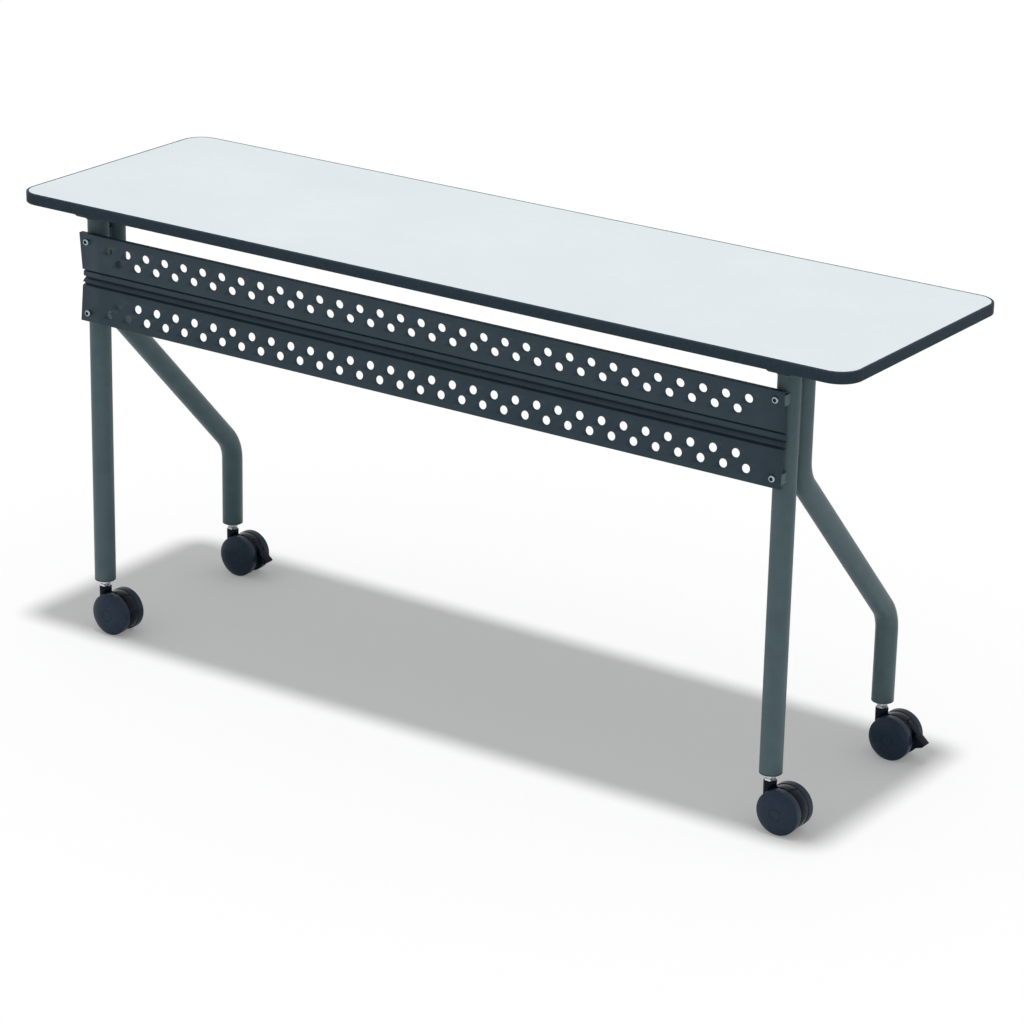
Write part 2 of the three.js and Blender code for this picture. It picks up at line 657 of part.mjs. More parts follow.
// Four rows of holes, two to a band, with the inner rows set half a pitch along.
function panelHoles() {
  const upperMiddle = PANEL_TOP_Z - UPPER_BAND / 2;
  const lowerMiddle = PANEL_BOTTOM_Z + LOWER_BAND / 2;
  const rows = [
    { z: upperMiddle + ROW_SPACING / 2, count: HOLE_COUNT },
    { z: upperMiddle - ROW_SPACING / 2, count: HOLE_COUNT - 1 },
    { z: lowerMiddle + ROW_SPACING / 2, count: HOLE_COUNT - 1 },
    { z: lowerMiddle - ROW_SPACING / 2, count: HOLE_COUNT },
  ];
  const holes = [];
  for (const row of rows) {
    for (let i = 0; i < row.count; i += 1) {
      const x = (i - (row.count - 1) / 2) * HOLE_PITCH;
      const hole = cylinderY(HOLE_RADIUS, TUBE_DIAMETER, HOLE_SIDES);
      holes.push(hole.translate(x, PANEL_FOLD_Y, row.z));
    }
  }
  return holes;
}

function screwTool(side, screw, radius) {
  const tool = cylinderY(radius, 2 * TUBE_DIAMETER, SCREW_SIDES);
  return tool.translate(side.sign * PANEL_SCREW_X, TUBE_FRONT_Y - TUBE_RADIUS, screw.z);
}

function panelLug(side, screw) {
  const low = screw.z - LUG_HEIGHT / 2;
  const high = screw.z + LUG_HEIGHT / 2;
  const width = LEG_X - PANEL_SCREW_X + 2 * LUG_MARGIN;
  const middle = (side.sign * (LEG_X + PANEL_SCREW_X)) / 2;
  const gap = PANEL_SHEET + FIT_GAP;
  const block = outline([
    [FRONT_TUBE_Y - TUBE_RADIUS / 2, low],
    [FRONT_TUBE_Y - TUBE_RADIUS / 2, high],
    [panelFrontY(high) + gap, high],
    [panelFrontY(low) + gap, low],
  ]);
  const tube = cylinderZ(TUBE_RADIUS + FIT_GAP, low - LUG_HEIGHT, high + LUG_HEIGHT, 2 * TUBE_ARC_STEPS);
  return cut(extrudeAlongX(block, width, middle), [
    tube.translate(side.x, FRONT_TUBE_Y, 0),
    screwTool(side, screw, SCREW_SHANK_RADIUS + FIT_GAP),
  ]);
}

function panelScrew(side, screw) {
  const lean = UPPER_LEAN / UPPER_BAND;
  const seatY = panelFrontY(screw.z) - FIT_GAP - lean * SCREW_HEAD_RADIUS;
  const profile = [
    [0, SCREW_SHANK_LENGTH],
    [SCREW_SHANK_RADIUS, SCREW_SHANK_LENGTH],
    [SCREW_SHANK_RADIUS, 0],
    [SCREW_HEAD_RADIUS, 0],
    [SCREW_DOME_RADIUS, -SCREW_DOME_DEPTH],
    [SCREW_FLAT_RADIUS, -SCREW_HEAD_DEPTH],
    [0, -SCREW_HEAD_DEPTH],
  ].reverse().map(([r, y]) => new THREE.Vector2(r, y));
  const screwBody = new THREE.LatheGeometry(profile, SCREW_SIDES);
  return screwBody.translate(side.sign * PANEL_SCREW_X, seatY, screw.z);
}

function buildPanel() {
  const cuts = panelHoles();
  for (const side of SIDES) {
    for (const screw of PANEL_SCREWS) {
      cuts.push(screwTool(side, screw, SCREW_SHANK_RADIUS + 2 * FIT_GAP));
      addPiece(`${side.name}_${screw.name}_panel_lug`, panelLug(side, screw), 'frame');
      addPiece(`${side.name}_${screw.name}_panel_screw`, panelScrew(side, screw), 'zinc');
    }
  }
  addPiece('modesty_panel', cut(panelSheet(), cuts), 'panel');
}

// Casters, drawn about their own stem with the axle trailing along +X
function tubeInsert() {
  const plugRadius = BORE_RADIUS - FIT_GAP;
  const boreRadius = STEM_RADIUS + FIT_GAP;
  const seatZ = CASTER_HEIGHT - FIT_GAP;
  const profile = [
    [boreRadius, seatZ - INSERT_FLANGE],
    [TUBE_RADIUS, seatZ - INSERT_FLANGE],
    [TUBE_RADIUS, seatZ],
    [plugRadius, seatZ],
    [plugRadius, seatZ + INSERT_LENGTH],
    [boreRadius, seatZ + INSERT_LENGTH],
    [boreRadius, seatZ - INSERT_FLANGE],
  ].map(([r, z]) => new THREE.Vector2(r, z));
  return new THREE.LatheGeometry(profile, 2 * TUBE_ARC_STEPS).rotateX(Math.PI / 2);
}

function casterStem() {
  return join([
    cylinderZ(STEM_RADIUS, STEM_BOTTOM_Z, CASTER_HEIGHT + STEM_RISE),
    cylinderZ(NUT_RADIUS, NUT_BOTTOM_Z, NUT_TOP_Z, NUT_SIDES),
  ]);
}

function polar(radius, angle) {
  return [radius * Math.cos(angle), radius * Math.sin(angle)];
}

// The pedal turns on a pin in the middle of the hood's shell.
function pedalPin() {
  return polar((HOOD_RADIUS + RIM_RADIUS) / 2 + FIT_GAP, PEDAL_PIN_ANGLE);
}

function atAxle(geometry) {
  return geometry.translate(AXLE_X, 0, WHEEL_RADIUS);
}

function casterHood(braked) {
  const start = braked ? HOOD_BRAKED_FRONT : HOOD_FRONT;
  const sector = new THREE.Shape();
  sector.moveTo(0, 0);
  sector.absarc(0, 0, HOOD_RADIUS, start, HOOD_BACK);
  const whole = join([
    atAxle(extrudeAlongY(sector, 2 * HOOD_HALF_WIDTH)),
    atAxle(cylinderY(HUB_RADIUS, 2 * HOOD_HALF_WIDTH)),
    cylinderZ(HOOD_HALF_WIDTH, WHEEL_RADIUS, NECK_TOP_Z),
    cylinderZ(NECK_RADIUS, NECK_BOTTOM_Z, NECK_TOP_Z),
  ]);
  const drumWidth = HOOD_HALF_WIDTH;
  const drumMiddle = HALF_GAP - 2 * FIT_GAP + drumWidth / 2;
  const drum = cylinderY(RIM_RADIUS + 2 * FIT_GAP, drumWidth, WHEEL_SIDES);
  const cuts = [
    atAxle(drum.clone().translate(0, drumMiddle, 0)),
    atAxle(drum.clone().translate(0, -drumMiddle, 0)),
    atAxle(cylinderY(AXLE_RADIUS + FIT_GAP, WHEEL_SPAN)),
    cylinderZ(STEM_RADIUS + FIT_GAP, STEM_BOTTOM_Z - FIT_GAP, CASTER_HEIGHT),
  ];
  if (braked) cuts.push(...pedalClearance());
  return cut(whole, cuts);
}

// Room in the hood for the pedal's knuckle, between two ears, and for its pin.
function pedalClearance() {
  const [pinX, pinZ] = pedalPin();
  const slot = new THREE.Shape();
  slot.absarc(0, 0, WHEEL_RADIUS, 0, PEDAL_SLOT_END);
  slot.absarc(0, 0, PEDAL_SLOT_FLOOR, PEDAL_SLOT_END, 0, true);
  const pin = cylinderY(PEDAL_PIN_RADIUS + FIT_GAP, WHEEL_SPAN);
  return [
    atAxle(extrudeAlongY(slot, PEDAL_KNUCKLE_WIDTH + 2 * FIT_GAP)),
    atAxle(pin.translate(pinX, 0, pinZ)),
  ];
}

function brakePedal() {
  const [pinX, pinZ] = pedalPin();
  const blade = outline([
    polar(PEDAL_ROOT_RADIUS, PEDAL_ROOT_ANGLE),
    [PEDAL_REACH - PEDAL_KNUCKLE_RADIUS, PEDAL_TIP_RISE - PEDAL_KNUCKLE_RADIUS],
    [PEDAL_REACH, PEDAL_TIP_RISE],
    polar(PEDAL_SHOULDER_RADIUS, PEDAL_SHOULDER_ANGLE),
    polar(PEDAL_ROOT_RADIUS, PEDAL_SHOULDER_ANGLE),
  ]);
  const neck = outline([
    [pinX, pinZ - PEDAL_PIN_RADIUS],
    polar(HOOD_RADIUS, PEDAL_SHOULDER_ANGLE),
    polar(PEDAL_SHOULDER_RADIUS, PEDAL_SHOULDER_ANGLE / 4),
    polar(PEDAL_SHOULDER_RADIUS, PEDAL_SHOULDER_ANGLE),
    [pinX, pinZ + PEDAL_KNUCKLE_RADIUS],
  ]);
  return atAxle(join([
    extrudeAlongY(blade, PEDAL_WIDTH),
    extrudeAlongY(neck, PEDAL_KNUCKLE_WIDTH),
    cylinderY(PEDAL_KNUCKLE_RADIUS, PEDAL_KNUCKLE_WIDTH).translate(pinX, 0, pinZ),
    cylinderY(PEDAL_PIN_RADIUS, 2 * HOOD_HALF_WIDTH).translate(pinX, 0, pinZ),
  ]));
}

function casterWheel() {
  const boreEnd = HALF_SPAN - AXLE_COVER;
  const boreRadius = AXLE_RADIUS + FIT_GAP;
  const faceRadius = WHEEL_RADIUS - WHEEL_EDGE;
  const profile = [
    [0, boreEnd],
    [boreRadius, boreEnd],
    [boreRadius, HALF_GAP],
    [RIM_RADIUS, HALF_GAP],
    [RIM_RADIUS, TREAD_START],
    [faceRadius, TREAD_START],
    [WHEEL_RADIUS, TREAD_START + WHEEL_EDGE],
    [WHEEL_RADIUS, HALF_SPAN - WHEEL_EDGE],
    [faceRadius, HALF_SPAN],
    [faceRadius * Math.SQRT1_2, HALF_SPAN + WHEEL_DOME * Math.SQRT1_2],
    [0, HALF_SPAN + WHEEL_DOME],
  ].map(([r, y]) => new THREE.Vector2(r, y));
  return new THREE.LatheGeometry(profile, WHEEL_SIDES);
}

function casterAxle() {
  return cylinderY(AXLE_RADIUS, WHEEL_SPAN - 2 * (AXLE_COVER + FIT_GAP));
}

function buildCasters() {
  const rows = [
    { name: 'front', y: FRONT_TUBE_Y, braked: false },
    { name: 'rear', y: REAR_FOOT_Y, braked: true },
  ];
  for (const row of rows) {
    for (const side of SIDES) {
      const name = `${row.name}_${side.name}`;
      const place = (geometry) => geometry.translate(side.x, row.y, 0);
      addPiece(`${name}_tube_insert`, place(tubeInsert()), 'frame');
      addPiece(`${name}_caster_stem`, place(casterStem()), 'zinc');
      addPiece(`${name}_caster_hood`, place(casterHood(row.braked)), 'plastic');
      addPiece(`${name}_caster_axle`, place(atAxle(casterAxle())), 'zinc');
      addPiece(`${name}_near_wheel`, place(atAxle(casterWheel().rotateX(Math.PI))), 'plastic');
      addPiece(`${name}_far_wheel`, place(atAxle(casterWheel())), 'plastic');
      if (row.braked) addPiece(`${name}_brake_pedal`, place(brakePedal()), 'plastic');
    }
  }
}

buildTop();
buildFlip();
buildLegs();
buildPanel();
buildCasters();

export default table;
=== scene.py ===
import json
import math

import bmesh
import bpy
from mathutils import Matrix, Vector

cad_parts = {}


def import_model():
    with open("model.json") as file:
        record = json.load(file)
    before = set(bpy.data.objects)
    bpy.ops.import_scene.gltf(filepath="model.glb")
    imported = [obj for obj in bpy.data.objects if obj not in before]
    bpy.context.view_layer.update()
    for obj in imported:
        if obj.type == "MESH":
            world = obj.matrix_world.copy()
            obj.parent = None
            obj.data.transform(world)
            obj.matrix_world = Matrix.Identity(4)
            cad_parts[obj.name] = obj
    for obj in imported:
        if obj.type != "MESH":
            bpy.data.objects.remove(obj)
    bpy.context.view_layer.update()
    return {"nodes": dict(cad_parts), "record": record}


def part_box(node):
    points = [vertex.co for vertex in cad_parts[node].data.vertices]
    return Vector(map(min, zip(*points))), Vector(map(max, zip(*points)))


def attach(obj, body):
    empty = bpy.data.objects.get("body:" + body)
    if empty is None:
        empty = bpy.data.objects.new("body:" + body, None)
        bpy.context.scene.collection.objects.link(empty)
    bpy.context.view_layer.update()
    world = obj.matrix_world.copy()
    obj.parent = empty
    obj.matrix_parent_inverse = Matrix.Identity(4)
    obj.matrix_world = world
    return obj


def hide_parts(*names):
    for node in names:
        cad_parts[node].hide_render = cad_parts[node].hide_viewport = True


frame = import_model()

# The looks of a flip top training table, in metres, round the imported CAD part.
NODES = frame["nodes"]
RECORD = frame["record"]
BODY_OF = {
    node: body for body, nodes in RECORD["behaviour"]["bodies"].items() for node in nodes
}
SLOT_OF = {part["node"]: part["material_slot"] for part in RECORD["subparts"]}
SIDES = ("left", "right")
CORNERS = [f"{row}_{side}" for row in ("front", "rear") for side in SIDES]
FULL_TURN = 2 * math.pi
X_AXIS = Vector((1, 0, 0))
Y_AXIS = Vector((0, 1, 0))
Z_AXIS = Vector((0, 0, 1))

# Camera, as the photograph was taken
CAMERA_PLACE = Vector((3.0868, -4.4744, 2.3200))
CAMERA_AZIMUTH = math.radians(34.159)
CAMERA_ELEVATION = math.radians(20.413)
CAMERA_ROLL = math.radians(1.206)
CAMERA_LENS = 129.5

# Studio
SKY_LIGHT = 0.40
SUN_STRENGTH = 1.85
SUN_ANGLE = math.radians(5)
SUN_TILT = (math.radians(1), math.radians(2), 0)
FLOOR_SIZE = 40
FLOOR_PATCHES = 4
FLOOR_COLOUR = 0.84
FLOOR_GLOW = 0.18

# Mesh making: the gaps and angles that count as none, the most of a side that a corner's
# arc takes, and how wide the edges of the pieces are broken
LEAST_GAP = 1e-7
LEAST_CAD_GAP = 1e-6
FLAT_ANGLE = math.radians(1)
STEEP = 0.5
CORNER_SHARE = 0.48
SHEET_EDGE = 0.0006
HEAD_EDGE = 0.0008
GRIP_EDGE = 0.0009
SOFT_EDGE = 0.0012

# Table top
CORNER_RADIUS = 0.038
CORNER_STEPS = 14
BAND_THICKNESS = 0.004
BAND_ROUND = 0.003
BAND_ROUND_STEPS = 5
SKIN_GAP = 0.0003
SKIN_EDGE = 0.0002

# Legs
TUBE_WALL = 0.0016
TUBE_SIDES = 56
TUBE_END_ROUND = 0.0012
UPPER_BEND_Z = 0.535
LOWER_BEND_Z = 0.228
BEND_RADIUS = 0.066
BEND_STEPS = 16
BEAD_RADIUS = 0.0017
BEAD_RIPPLE = 0.14
BEAD_PITCH = 0.0024
BEAD_STEP = BEAD_PITCH / 4
BEAD_LEAST_STEPS = 8
BEAD_OFFSET = BEAD_RADIUS / 3
BEAD_SIDES = 10

# Modesty panel
PANEL_SHEET = 0.0012
HOLE_PITCH = 0.0381
HOLE_COUNT = 32
# Each row of holes: the level at the top of its strip, and its count
HOLE_ROWS = ((0, HOLE_COUNT), (1, HOLE_COUNT - 1), (3, HOLE_COUNT - 1), (4, HOLE_COUNT))
HOLE_RADIUS = 0.00675
HOLE_SIDES = 32
ROW_SPACING = 0.01905
UPPER_BAND = 0.062
LOWER_BAND = 0.0575
UPPER_LEAN = 0.006
LOWER_LEAN = 0.0055
GROOVE_DEPTH = 0.003
GROOVE_HEIGHT = 0.004
MIDDLE_GROOVE_HEIGHT = 0.005
LOWER_GROOVE_DEPTH = 0.0055
FLOOR_DEPTH = 0.0025
FLOOR_HEIGHT = 0.0075
LEDGE_BACK = 0.0045
LEDGE_HEIGHT = 0.0045
HEM_DEPTH = 0.0086
FOLD_RADIUS = 0.0008
FOLD_STEPS = 4

# Fasteners
SCREW_SIDES = 36
SOCKET_APOTHEM = 0.0029
SOCKET_DEPTH = 0.0018
SOCKET_RIM = 0.0035
SOCKET_BREAK = 0.0001
BUTTON_RISE = 0.0032
BUTTON_STEPS = 6
SHANK_RADIUS = 0.0025
WOOD_SCREW_FLAT = 0.0024
WOOD_SCREW_RADIUS = 0.0042
WOOD_SCREW_RISE = 0.0024
WOOD_SCREW_PLACES = (-0.045, 0.030, 0.105, 0.135)
RAIL_WEB = 0.002
CROSS_RADIUS = 0.0022
CROSS_NARROW = 0.0006
CROSS_POWER = 3
# Depths of the cross recess, as shares of the head's rise
CROSS_FLOOR = 0.6
CROSS_POINT = 0.7

# Casters
WHEEL_SIDES = 72
WHEEL_ROUND = 0.0015
WHEEL_ROUND_STEPS = 5
WHEEL_DOME = 0.007
DOME_POWER = 3.5
DOME_STEPS = 14
RIM_RADIUS = 0.0295
RIM_WIDTH = 0.0055
AXLE_BORE = 0.0043
AXLE_COVER = 0.0015
HUB_RING_RADIUS = 0.009
HUB_RING_GROOVE = 0.0006
HOOD_HALF_WIDTH = 0.0099
HOOD_WEB = 0.0044
HOOD_RADIUS = 0.0345
HOOD_INNER = 0.0301
HOOD_HUB = 0.010
HOOD_WEB_FOOT = 0.009
HOOD_FRONT = math.radians(-40)
HOOD_BACK = math.radians(200)
HOOD_SLOT_END = math.radians(57)
HOOD_EAR_START = math.radians(22)
EAR_INNER = 0.0048
HOOD_STEP = math.radians(4)
HOOD_ROUND = 0.0008
HOOD_ROUND_STEPS = 2
NECK_RADIUS = 0.0102
NECK_ROUND = 0.0009
NECK_DROP = 0.002
NECK_FOOT = 0.008
STEM_RADIUS = 0.005
STEM_DEPTH = 0.0105
NUT_APOTHEM = 0.0083
NUT_HEIGHT = 0.0042
NUT_CHAMFER = 0.0006
COLLAR_RADIUS = 0.0068
WASHER_RADIUS = 0.0096
WASHER_HEIGHT = 0.0048
WASHER_ROUND = 0.0003
INSERT_FLANGE = 0.0017
INSERT_ROUND = 0.0008
INSERT_ROUND_STEPS = 3

# Springs and pins
SPRING_WIRE = 0.0008
SPRING_COIL = 0.0062
SPRING_PITCH = 0.0023
SPRING_TURNS = 4
SPRING_LEG = 0.006
SPRING_STEPS = 28
PIN_CHAMFER = 0.0006
PIN_RADIUS = 0.002
PIN_HEAD_DEPTH = 0.002
PIN_DOME = 0.0013


# Materials
def srgb(red, green, blue):
    """A screen colour, 0 to 255, as the linear colour that a shader takes."""
    channels = []
    for value in (red / 255, green / 255, blue / 255):
        channels.append(value / 12.92 if value <= 0.04045 else ((value + 0.055) / 1.055) ** 2.4)
    return (*channels, 1)


class Finish:
    """A procedural material whose pattern is laid out in the piece's own metres."""

    def __init__(self, name, **constants):
        self.material = bpy.data.materials.new(name)
        self.material.use_nodes = True
        self.nodes = self.material.node_tree.nodes
        self.links = self.material.node_tree.links
        self.shader = self.nodes["Principled BSDF"]
        self.place = self.nodes.new("ShaderNodeTexCoord").outputs["Object"]
        for socket, value in constants.items():
            self.shader.inputs[socket.replace("_", " ")].default_value = value

    def noise(self, scale, detail=3.0, stretch=None):
        """Noise with about `scale` patches to the metre, drawn out along an axis by `stretch`."""
        place = self.place
        if stretch:
            mapping = self.nodes.new("ShaderNodeMapping")
            mapping.inputs["Scale"].default_value = stretch
            self.links.new(place, mapping.inputs["Vector"])
            place = mapping.outputs["Vector"]
        node = self.nodes.new("ShaderNodeTexNoise")
        node.inputs["Scale"].default_value = scale
        node.inputs["Detail"].default_value = detail
        self.links.new(place, node.inputs["Vector"])
        return node.outputs["Fac"]

    def ramp(self, value, *stops):
        """Colours at places along a value, from stops of (place, colour)."""
        node = self.nodes.new("ShaderNodeValToRGB")
        elements = node.color_ramp.elements
        while len(elements) < len(stops):
            elements.new(1)
        for element, (place, colour) in zip(elements, stops):
            element.position = place
            element.color = colour
        self.links.new(value, node.inputs["Fac"])
        return node.outputs["Color"]

    def blend(self, share, first, second):
        node = self.nodes.new("ShaderNodeMix")
        node.data_type = "RGBA"
        self.links.new(share, node.inputs["Factor"])
        self.links.new(first, node.inputs["A"])
        self.links.new(second, node.inputs["B"])
        return node.outputs["Result"]

    def span(self, value, low, high, start=0.3, end=0.7):
        """The value spread from low to high."""
        node = self.nodes.new("ShaderNodeMapRange")
        limits = {"From Min": start, "From Max": end, "To Min": low, "To Max": high}
        for socket, number in limits.items():
            node.inputs[socket].default_value = number
        self.links.new(value, node.inputs["Value"])
        return node.outputs["Result"]

    def colour(self, output):
        self.links.new(output, self.shader.inputs["Base Color"])

    def roughness(self, output):
        self.links.new(output, self.shader.inputs["Roughness"])

    def bump(self, height, strength, depth):
        node = self.nodes.new("ShaderNodeBump")
        node.inputs["Strength"].default_value = strength
        node.inputs["Distance"].default_value = depth
        self.links.new(height, node.inputs["Height"])
        self.links.new(node.outputs["Normal"], self.shader.inputs["Normal"])


def laminate():
    """Pale grey laminate: a fine fleck, a slow drift of tone and a pressed satin grain."""
    finish = Finish("laminate", Specular_IOR_Level=0.4)
    flecks = finish.noise(700, 4)
    fleck = finish.ramp(flecks, (0.34, srgb(217, 226, 231)), (0.66, srgb(229, 237, 240)))
    clouds = finish.noise(5, 3)
    drift = finish.ramp(clouds, (0.3, srgb(219, 228, 233)), (0.7, srgb(228, 236, 239)))
    finish.colour(finish.blend(finish.span(finish.noise(40, 2), 0.3, 0.7), fleck, drift))
    finish.roughness(finish.span(finish.noise(90, 4), 0.40, 0.50))
    finish.bump(finish.noise(1600, 3), 0.12, 0.00008)
    return finish.material


def edge_band():
    """Charcoal extruded edging: dull, faintly mottled and with a fine leathery grain."""
    finish = Finish("edge_band", Specular_IOR_Level=0.02)
    tone = finish.noise(220, 5)
    finish.colour(finish.ramp(tone, (0.3, srgb(49, 61, 71)), (0.7, srgb(56, 69, 79))))
    finish.roughness(finish.span(finish.noise(500, 4), 0.36, 0.50))
    finish.bump(finish.noise(1800, 3), 0.25, 0.00012)
    return finish.material


def powder_coat(name, dark, light, fleck, rough):
    """Baked powder paint: an orange peel skin with fine bright flecks in it."""
    finish = Finish(name, Specular_IOR_Level=0.2)
    body = finish.ramp(finish.noise(30, 4), (0.3, dark), (0.7, light))
    flecks = finish.ramp(finish.noise(2200, 2), (0.62, dark), (0.80, fleck))
    share = finish.span(finish.noise(2200, 2), 0.0, 0.6, 0.60, 0.78)
    finish.colour(finish.blend(share, body, flecks))
    finish.roughness(finish.span(finish.noise(400, 3), rough - 0.05, rough + 0.05))
    finish.bump(finish.noise(650, 2), 0.18, 0.00025)
    return finish.material


def zinc(name, dark, light):
    """Zinc plate: a mottled shine with fine turning marks."""
    finish = Finish(name, Metallic=1.0)
    finish.colour(finish.ramp(finish.noise(260, 4), (0.3, dark), (0.7, light)))
    finish.roughness(finish.span(finish.noise(900, 4), 0.20, 0.36))
    finish.bump(finish.noise(1500, 2, (1, 1, 6)), 0.15, 0.00008)
    return finish.material


def spring_steel():
    """Drawn spring wire: grey steel with a little oil darkening."""
    finish = Finish("spring_steel", Metallic=1.0)
    oil = finish.noise(500, 4)
    finish.colour(finish.ramp(oil, (0.3, srgb(120, 126, 130)), (0.7, srgb(176, 181, 184))))
    finish.roughness(finish.span(finish.noise(1200, 3), 0.25, 0.42))
    finish.bump(finish.noise(3000, 2), 0.1, 0.00005)
    return finish.material


def caster_plastic():
    """Black moulded nylon: low gloss, a slight swirl of tone and a fine spark texture."""
    finish = Finish("caster_plastic", Specular_IOR_Level=0.15)
    swirl = finish.noise(140, 4)
    finish.colour(finish.ramp(swirl, (0.3, srgb(35, 50, 66)), (0.7, srgb(41, 57, 74))))
    finish.roughness(finish.span(finish.noise(320, 4), 0.26, 0.38))
    finish.bump(finish.noise(2400, 2), 0.12, 0.00008)
    return finish.material


def hood_plastic():
    """Black smooth nylon: darker and less textured than the wheels, with a faint swirl of tone."""
    finish = Finish("hood_plastic", Specular_IOR_Level=0.08)
    swirl = finish.noise(140, 4)
    finish.colour(finish.ramp(swirl, (0.3, srgb(16, 24, 35)), (0.7, srgb(22, 31, 44))))
    finish.roughness(finish.span(finish.noise(320, 4), 0.10, 0.20))
    finish.bump(finish.noise(900, 2), 0.06, 0.00006)
    return finish.material


def rubber():
    """Dark rubber: dull, dusty and slightly pitted."""
    finish = Finish("rubber", Specular_IOR_Level=0.3)
    dust = finish.noise(300, 5)
    finish.colour(finish.ramp(dust, (0.3, srgb(28, 29, 31)), (0.7, srgb(44, 45, 47))))
    finish.roughness(finish.span(finish.noise(700, 3), 0.72, 0.9))
    finish.bump(finish.noise(1400, 3), 0.3, 0.0002)
    return finish.material


def board():
    """Particle board: pressed chips of several browns."""
    finish = Finish("board", Specular_IOR_Level=0.2)
    chips = finish.noise(420, 6, (1, 1, 2.5))
    browns = (0.3, srgb(120, 92, 60)), (0.5, srgb(168, 138, 98)), (0.7, srgb(200, 174, 132))
    finish.colour(finish.ramp(chips, *browns))
    finish.roughness(finish.span(chips, 0.8, 0.95))
    finish.bump(chips, 0.5, 0.0004)
    return finish.material


def backer():
    """Backing sheet under the top: plain grey paper laminate with a paper cloud in it."""
    finish = Finish("backer", Specular_IOR_Level=0.3)
    cloud = finish.noise(60, 6)
    finish.colour(finish.ramp(cloud, (0.3, srgb(128, 132, 134)), (0.7, srgb(146, 150, 152))))
    finish.roughness(finish.span(finish.noise(200, 4), 0.6, 0.75))
    finish.bump(finish.noise(900, 4), 0.2, 0.0001)
    return finish.material


FINISH = {
    "laminate": laminate(),
    "edge_band": edge_band(),
    "board": board(),
    "backer": backer(),
    "frame_paint": powder_coat(
        "frame_paint", srgb(79, 99, 104), srgb(86, 107, 112), srgb(122, 143, 148), 0.42
    ),
    "panel_paint": powder_coat(
        "panel_paint", srgb(46, 63, 74), srgb(52, 69, 80), srgb(82, 100, 111), 0.48
    ),
    "black_steel": powder_coat(
        "black_steel", srgb(34, 38, 42), srgb(41, 46, 50), srgb(66, 72, 77), 0.5
    ),
    "zinc": zinc("zinc", srgb(182, 189, 192), srgb(216, 221, 223)),
    "dull_zinc": zinc("dull_zinc", srgb(138, 155, 161), srgb(176, 192, 197)),
    "spring_steel": spring_steel(),
    "caster_plastic": caster_plastic(),
    "hood_plastic": hood_plastic(),
    "rubber": rubber(),
}


# Mesh making
def rounded(points, radius, steps, closed=True):
    """A flat outline with each corner turned into an arc."""
    corners = [Vector(point) for point in points]
    smooth = []
    for i, corner in enumerate(corners):
        if not closed and i in (0, len(corners) - 1):
            smooth.append(corner)
            continue
        before = corners[i - 1] - corner
        after = corners[(i + 1) % len(corners)] - corner
        half = before.angle(after) / 2
        most = CORNER_SHARE * min(before.length, after.length)
        reach = min(radius / math.tan(half), most)
        start = corner + before.normalized() * reach
        end = corner + after.normalized() * reach
        middle = (before.normalized() + after.normalized()).normalized()
        centre = corner + middle * (reach / math.cos(half))
        spoke = start - centre
        last = end - centre
        turn = math.copysign(math.pi - 2 * half, spoke.x * last.y - spoke.y * last.x)
        for k in range(steps + 1):
            across = math.cos(turn * k / steps)
            up = math.sin(turn * k / steps)
            turned_spoke = (spoke.x * across - spoke.y * up, spoke.x * up + spoke.y * across)
            smooth.append(centre + Vector(turned_spoke))
    return smooth


def skin(rings, loop=False, caps=True):
    """A mesh through rings of points, closed round itself or capped at both ends."""
    mesh = bmesh.new()
    rows = [[mesh.verts.new(point) for point in ring] for ring in rings]
    pairs = list(zip(rows, rows[1:]))
    if loop:
        pairs.append((rows[-1], rows[0]))
    for low, high in pairs:
        for i, point in enumerate(low):
            j = (i + 1) % len(low)
            mesh.faces.new((point, low[j], high[j], high[i]))
    if caps and not loop:
        mesh.faces.new(rows[0][::-1])
        mesh.faces.new(rows[-1])
    bmesh.ops.remove_doubles(mesh, verts=mesh.verts, dist=LEAST_GAP)
    return mesh


AXES = {
    "X": (Y_AXIS, Z_AXIS, X_AXIS),
    "Y": (Z_AXIS, X_AXIS, Y_AXIS),
    "Z": (X_AXIS, Y_AXIS, Z_AXIS),
}


def turns(sides):
    """Angles spread evenly round a circle."""
    return [FULL_TURN * i / sides for i in range(sides)]


def circle(radius, sides):
    """Polar points of a circle."""
    return [(radius, angle) for angle in turns(sides)]


def hexagon(apothem, sides):
    """Polar points on a hexagon's outline, one for each of the given number of directions."""
    points = []
    for angle in turns(sides):
        off = (angle % (math.pi / 3)) - math.pi / 6
        points.append((apothem / math.cos(off), angle))
    return points


def placed_round(polar_points, centre, side, up):
    """Polar points set round a centre in the plane of two directions."""
    return [
        centre + side * (radius * math.cos(angle)) + up * (radius * math.sin(angle))
        for radius, angle in polar_points
    ]


def ring_at(polar_points, axis, centre, along):
    """Polar points set round an axis through the centre, moved along it."""
    side, up, ahead = AXES[axis]
    return placed_round(polar_points, centre + ahead * along, side, up)


def turned(profile, sides, axis, centre, loop=False):
    """A turned form from a profile of (radius, distance along the axis)."""
    rings = [ring_at(circle(radius, sides), axis, centre, along) for radius, along in profile]
    return skin(rings, loop)


def mirrored(half):
    """A profile that runs from one end to the middle, carried on to the other end."""
    return half + [(radius, -along) for radius, along in half[::-1]]


def bevel(mesh, width, steps=3, sharper=25):
    """Breaks the edges that are sharper than the given angle."""
    limit = math.radians(sharper)
    edges = [e for e in mesh.edges if len(e.link_faces) == 2 and e.calc_face_angle(0) > limit]
    bmesh.ops.bevel(
        mesh,
        geom=edges,
        offset=width,
        segments=steps,
        profile=0.5,
        affect="EDGES",
        clamp_overlap=True,
    )
    return mesh


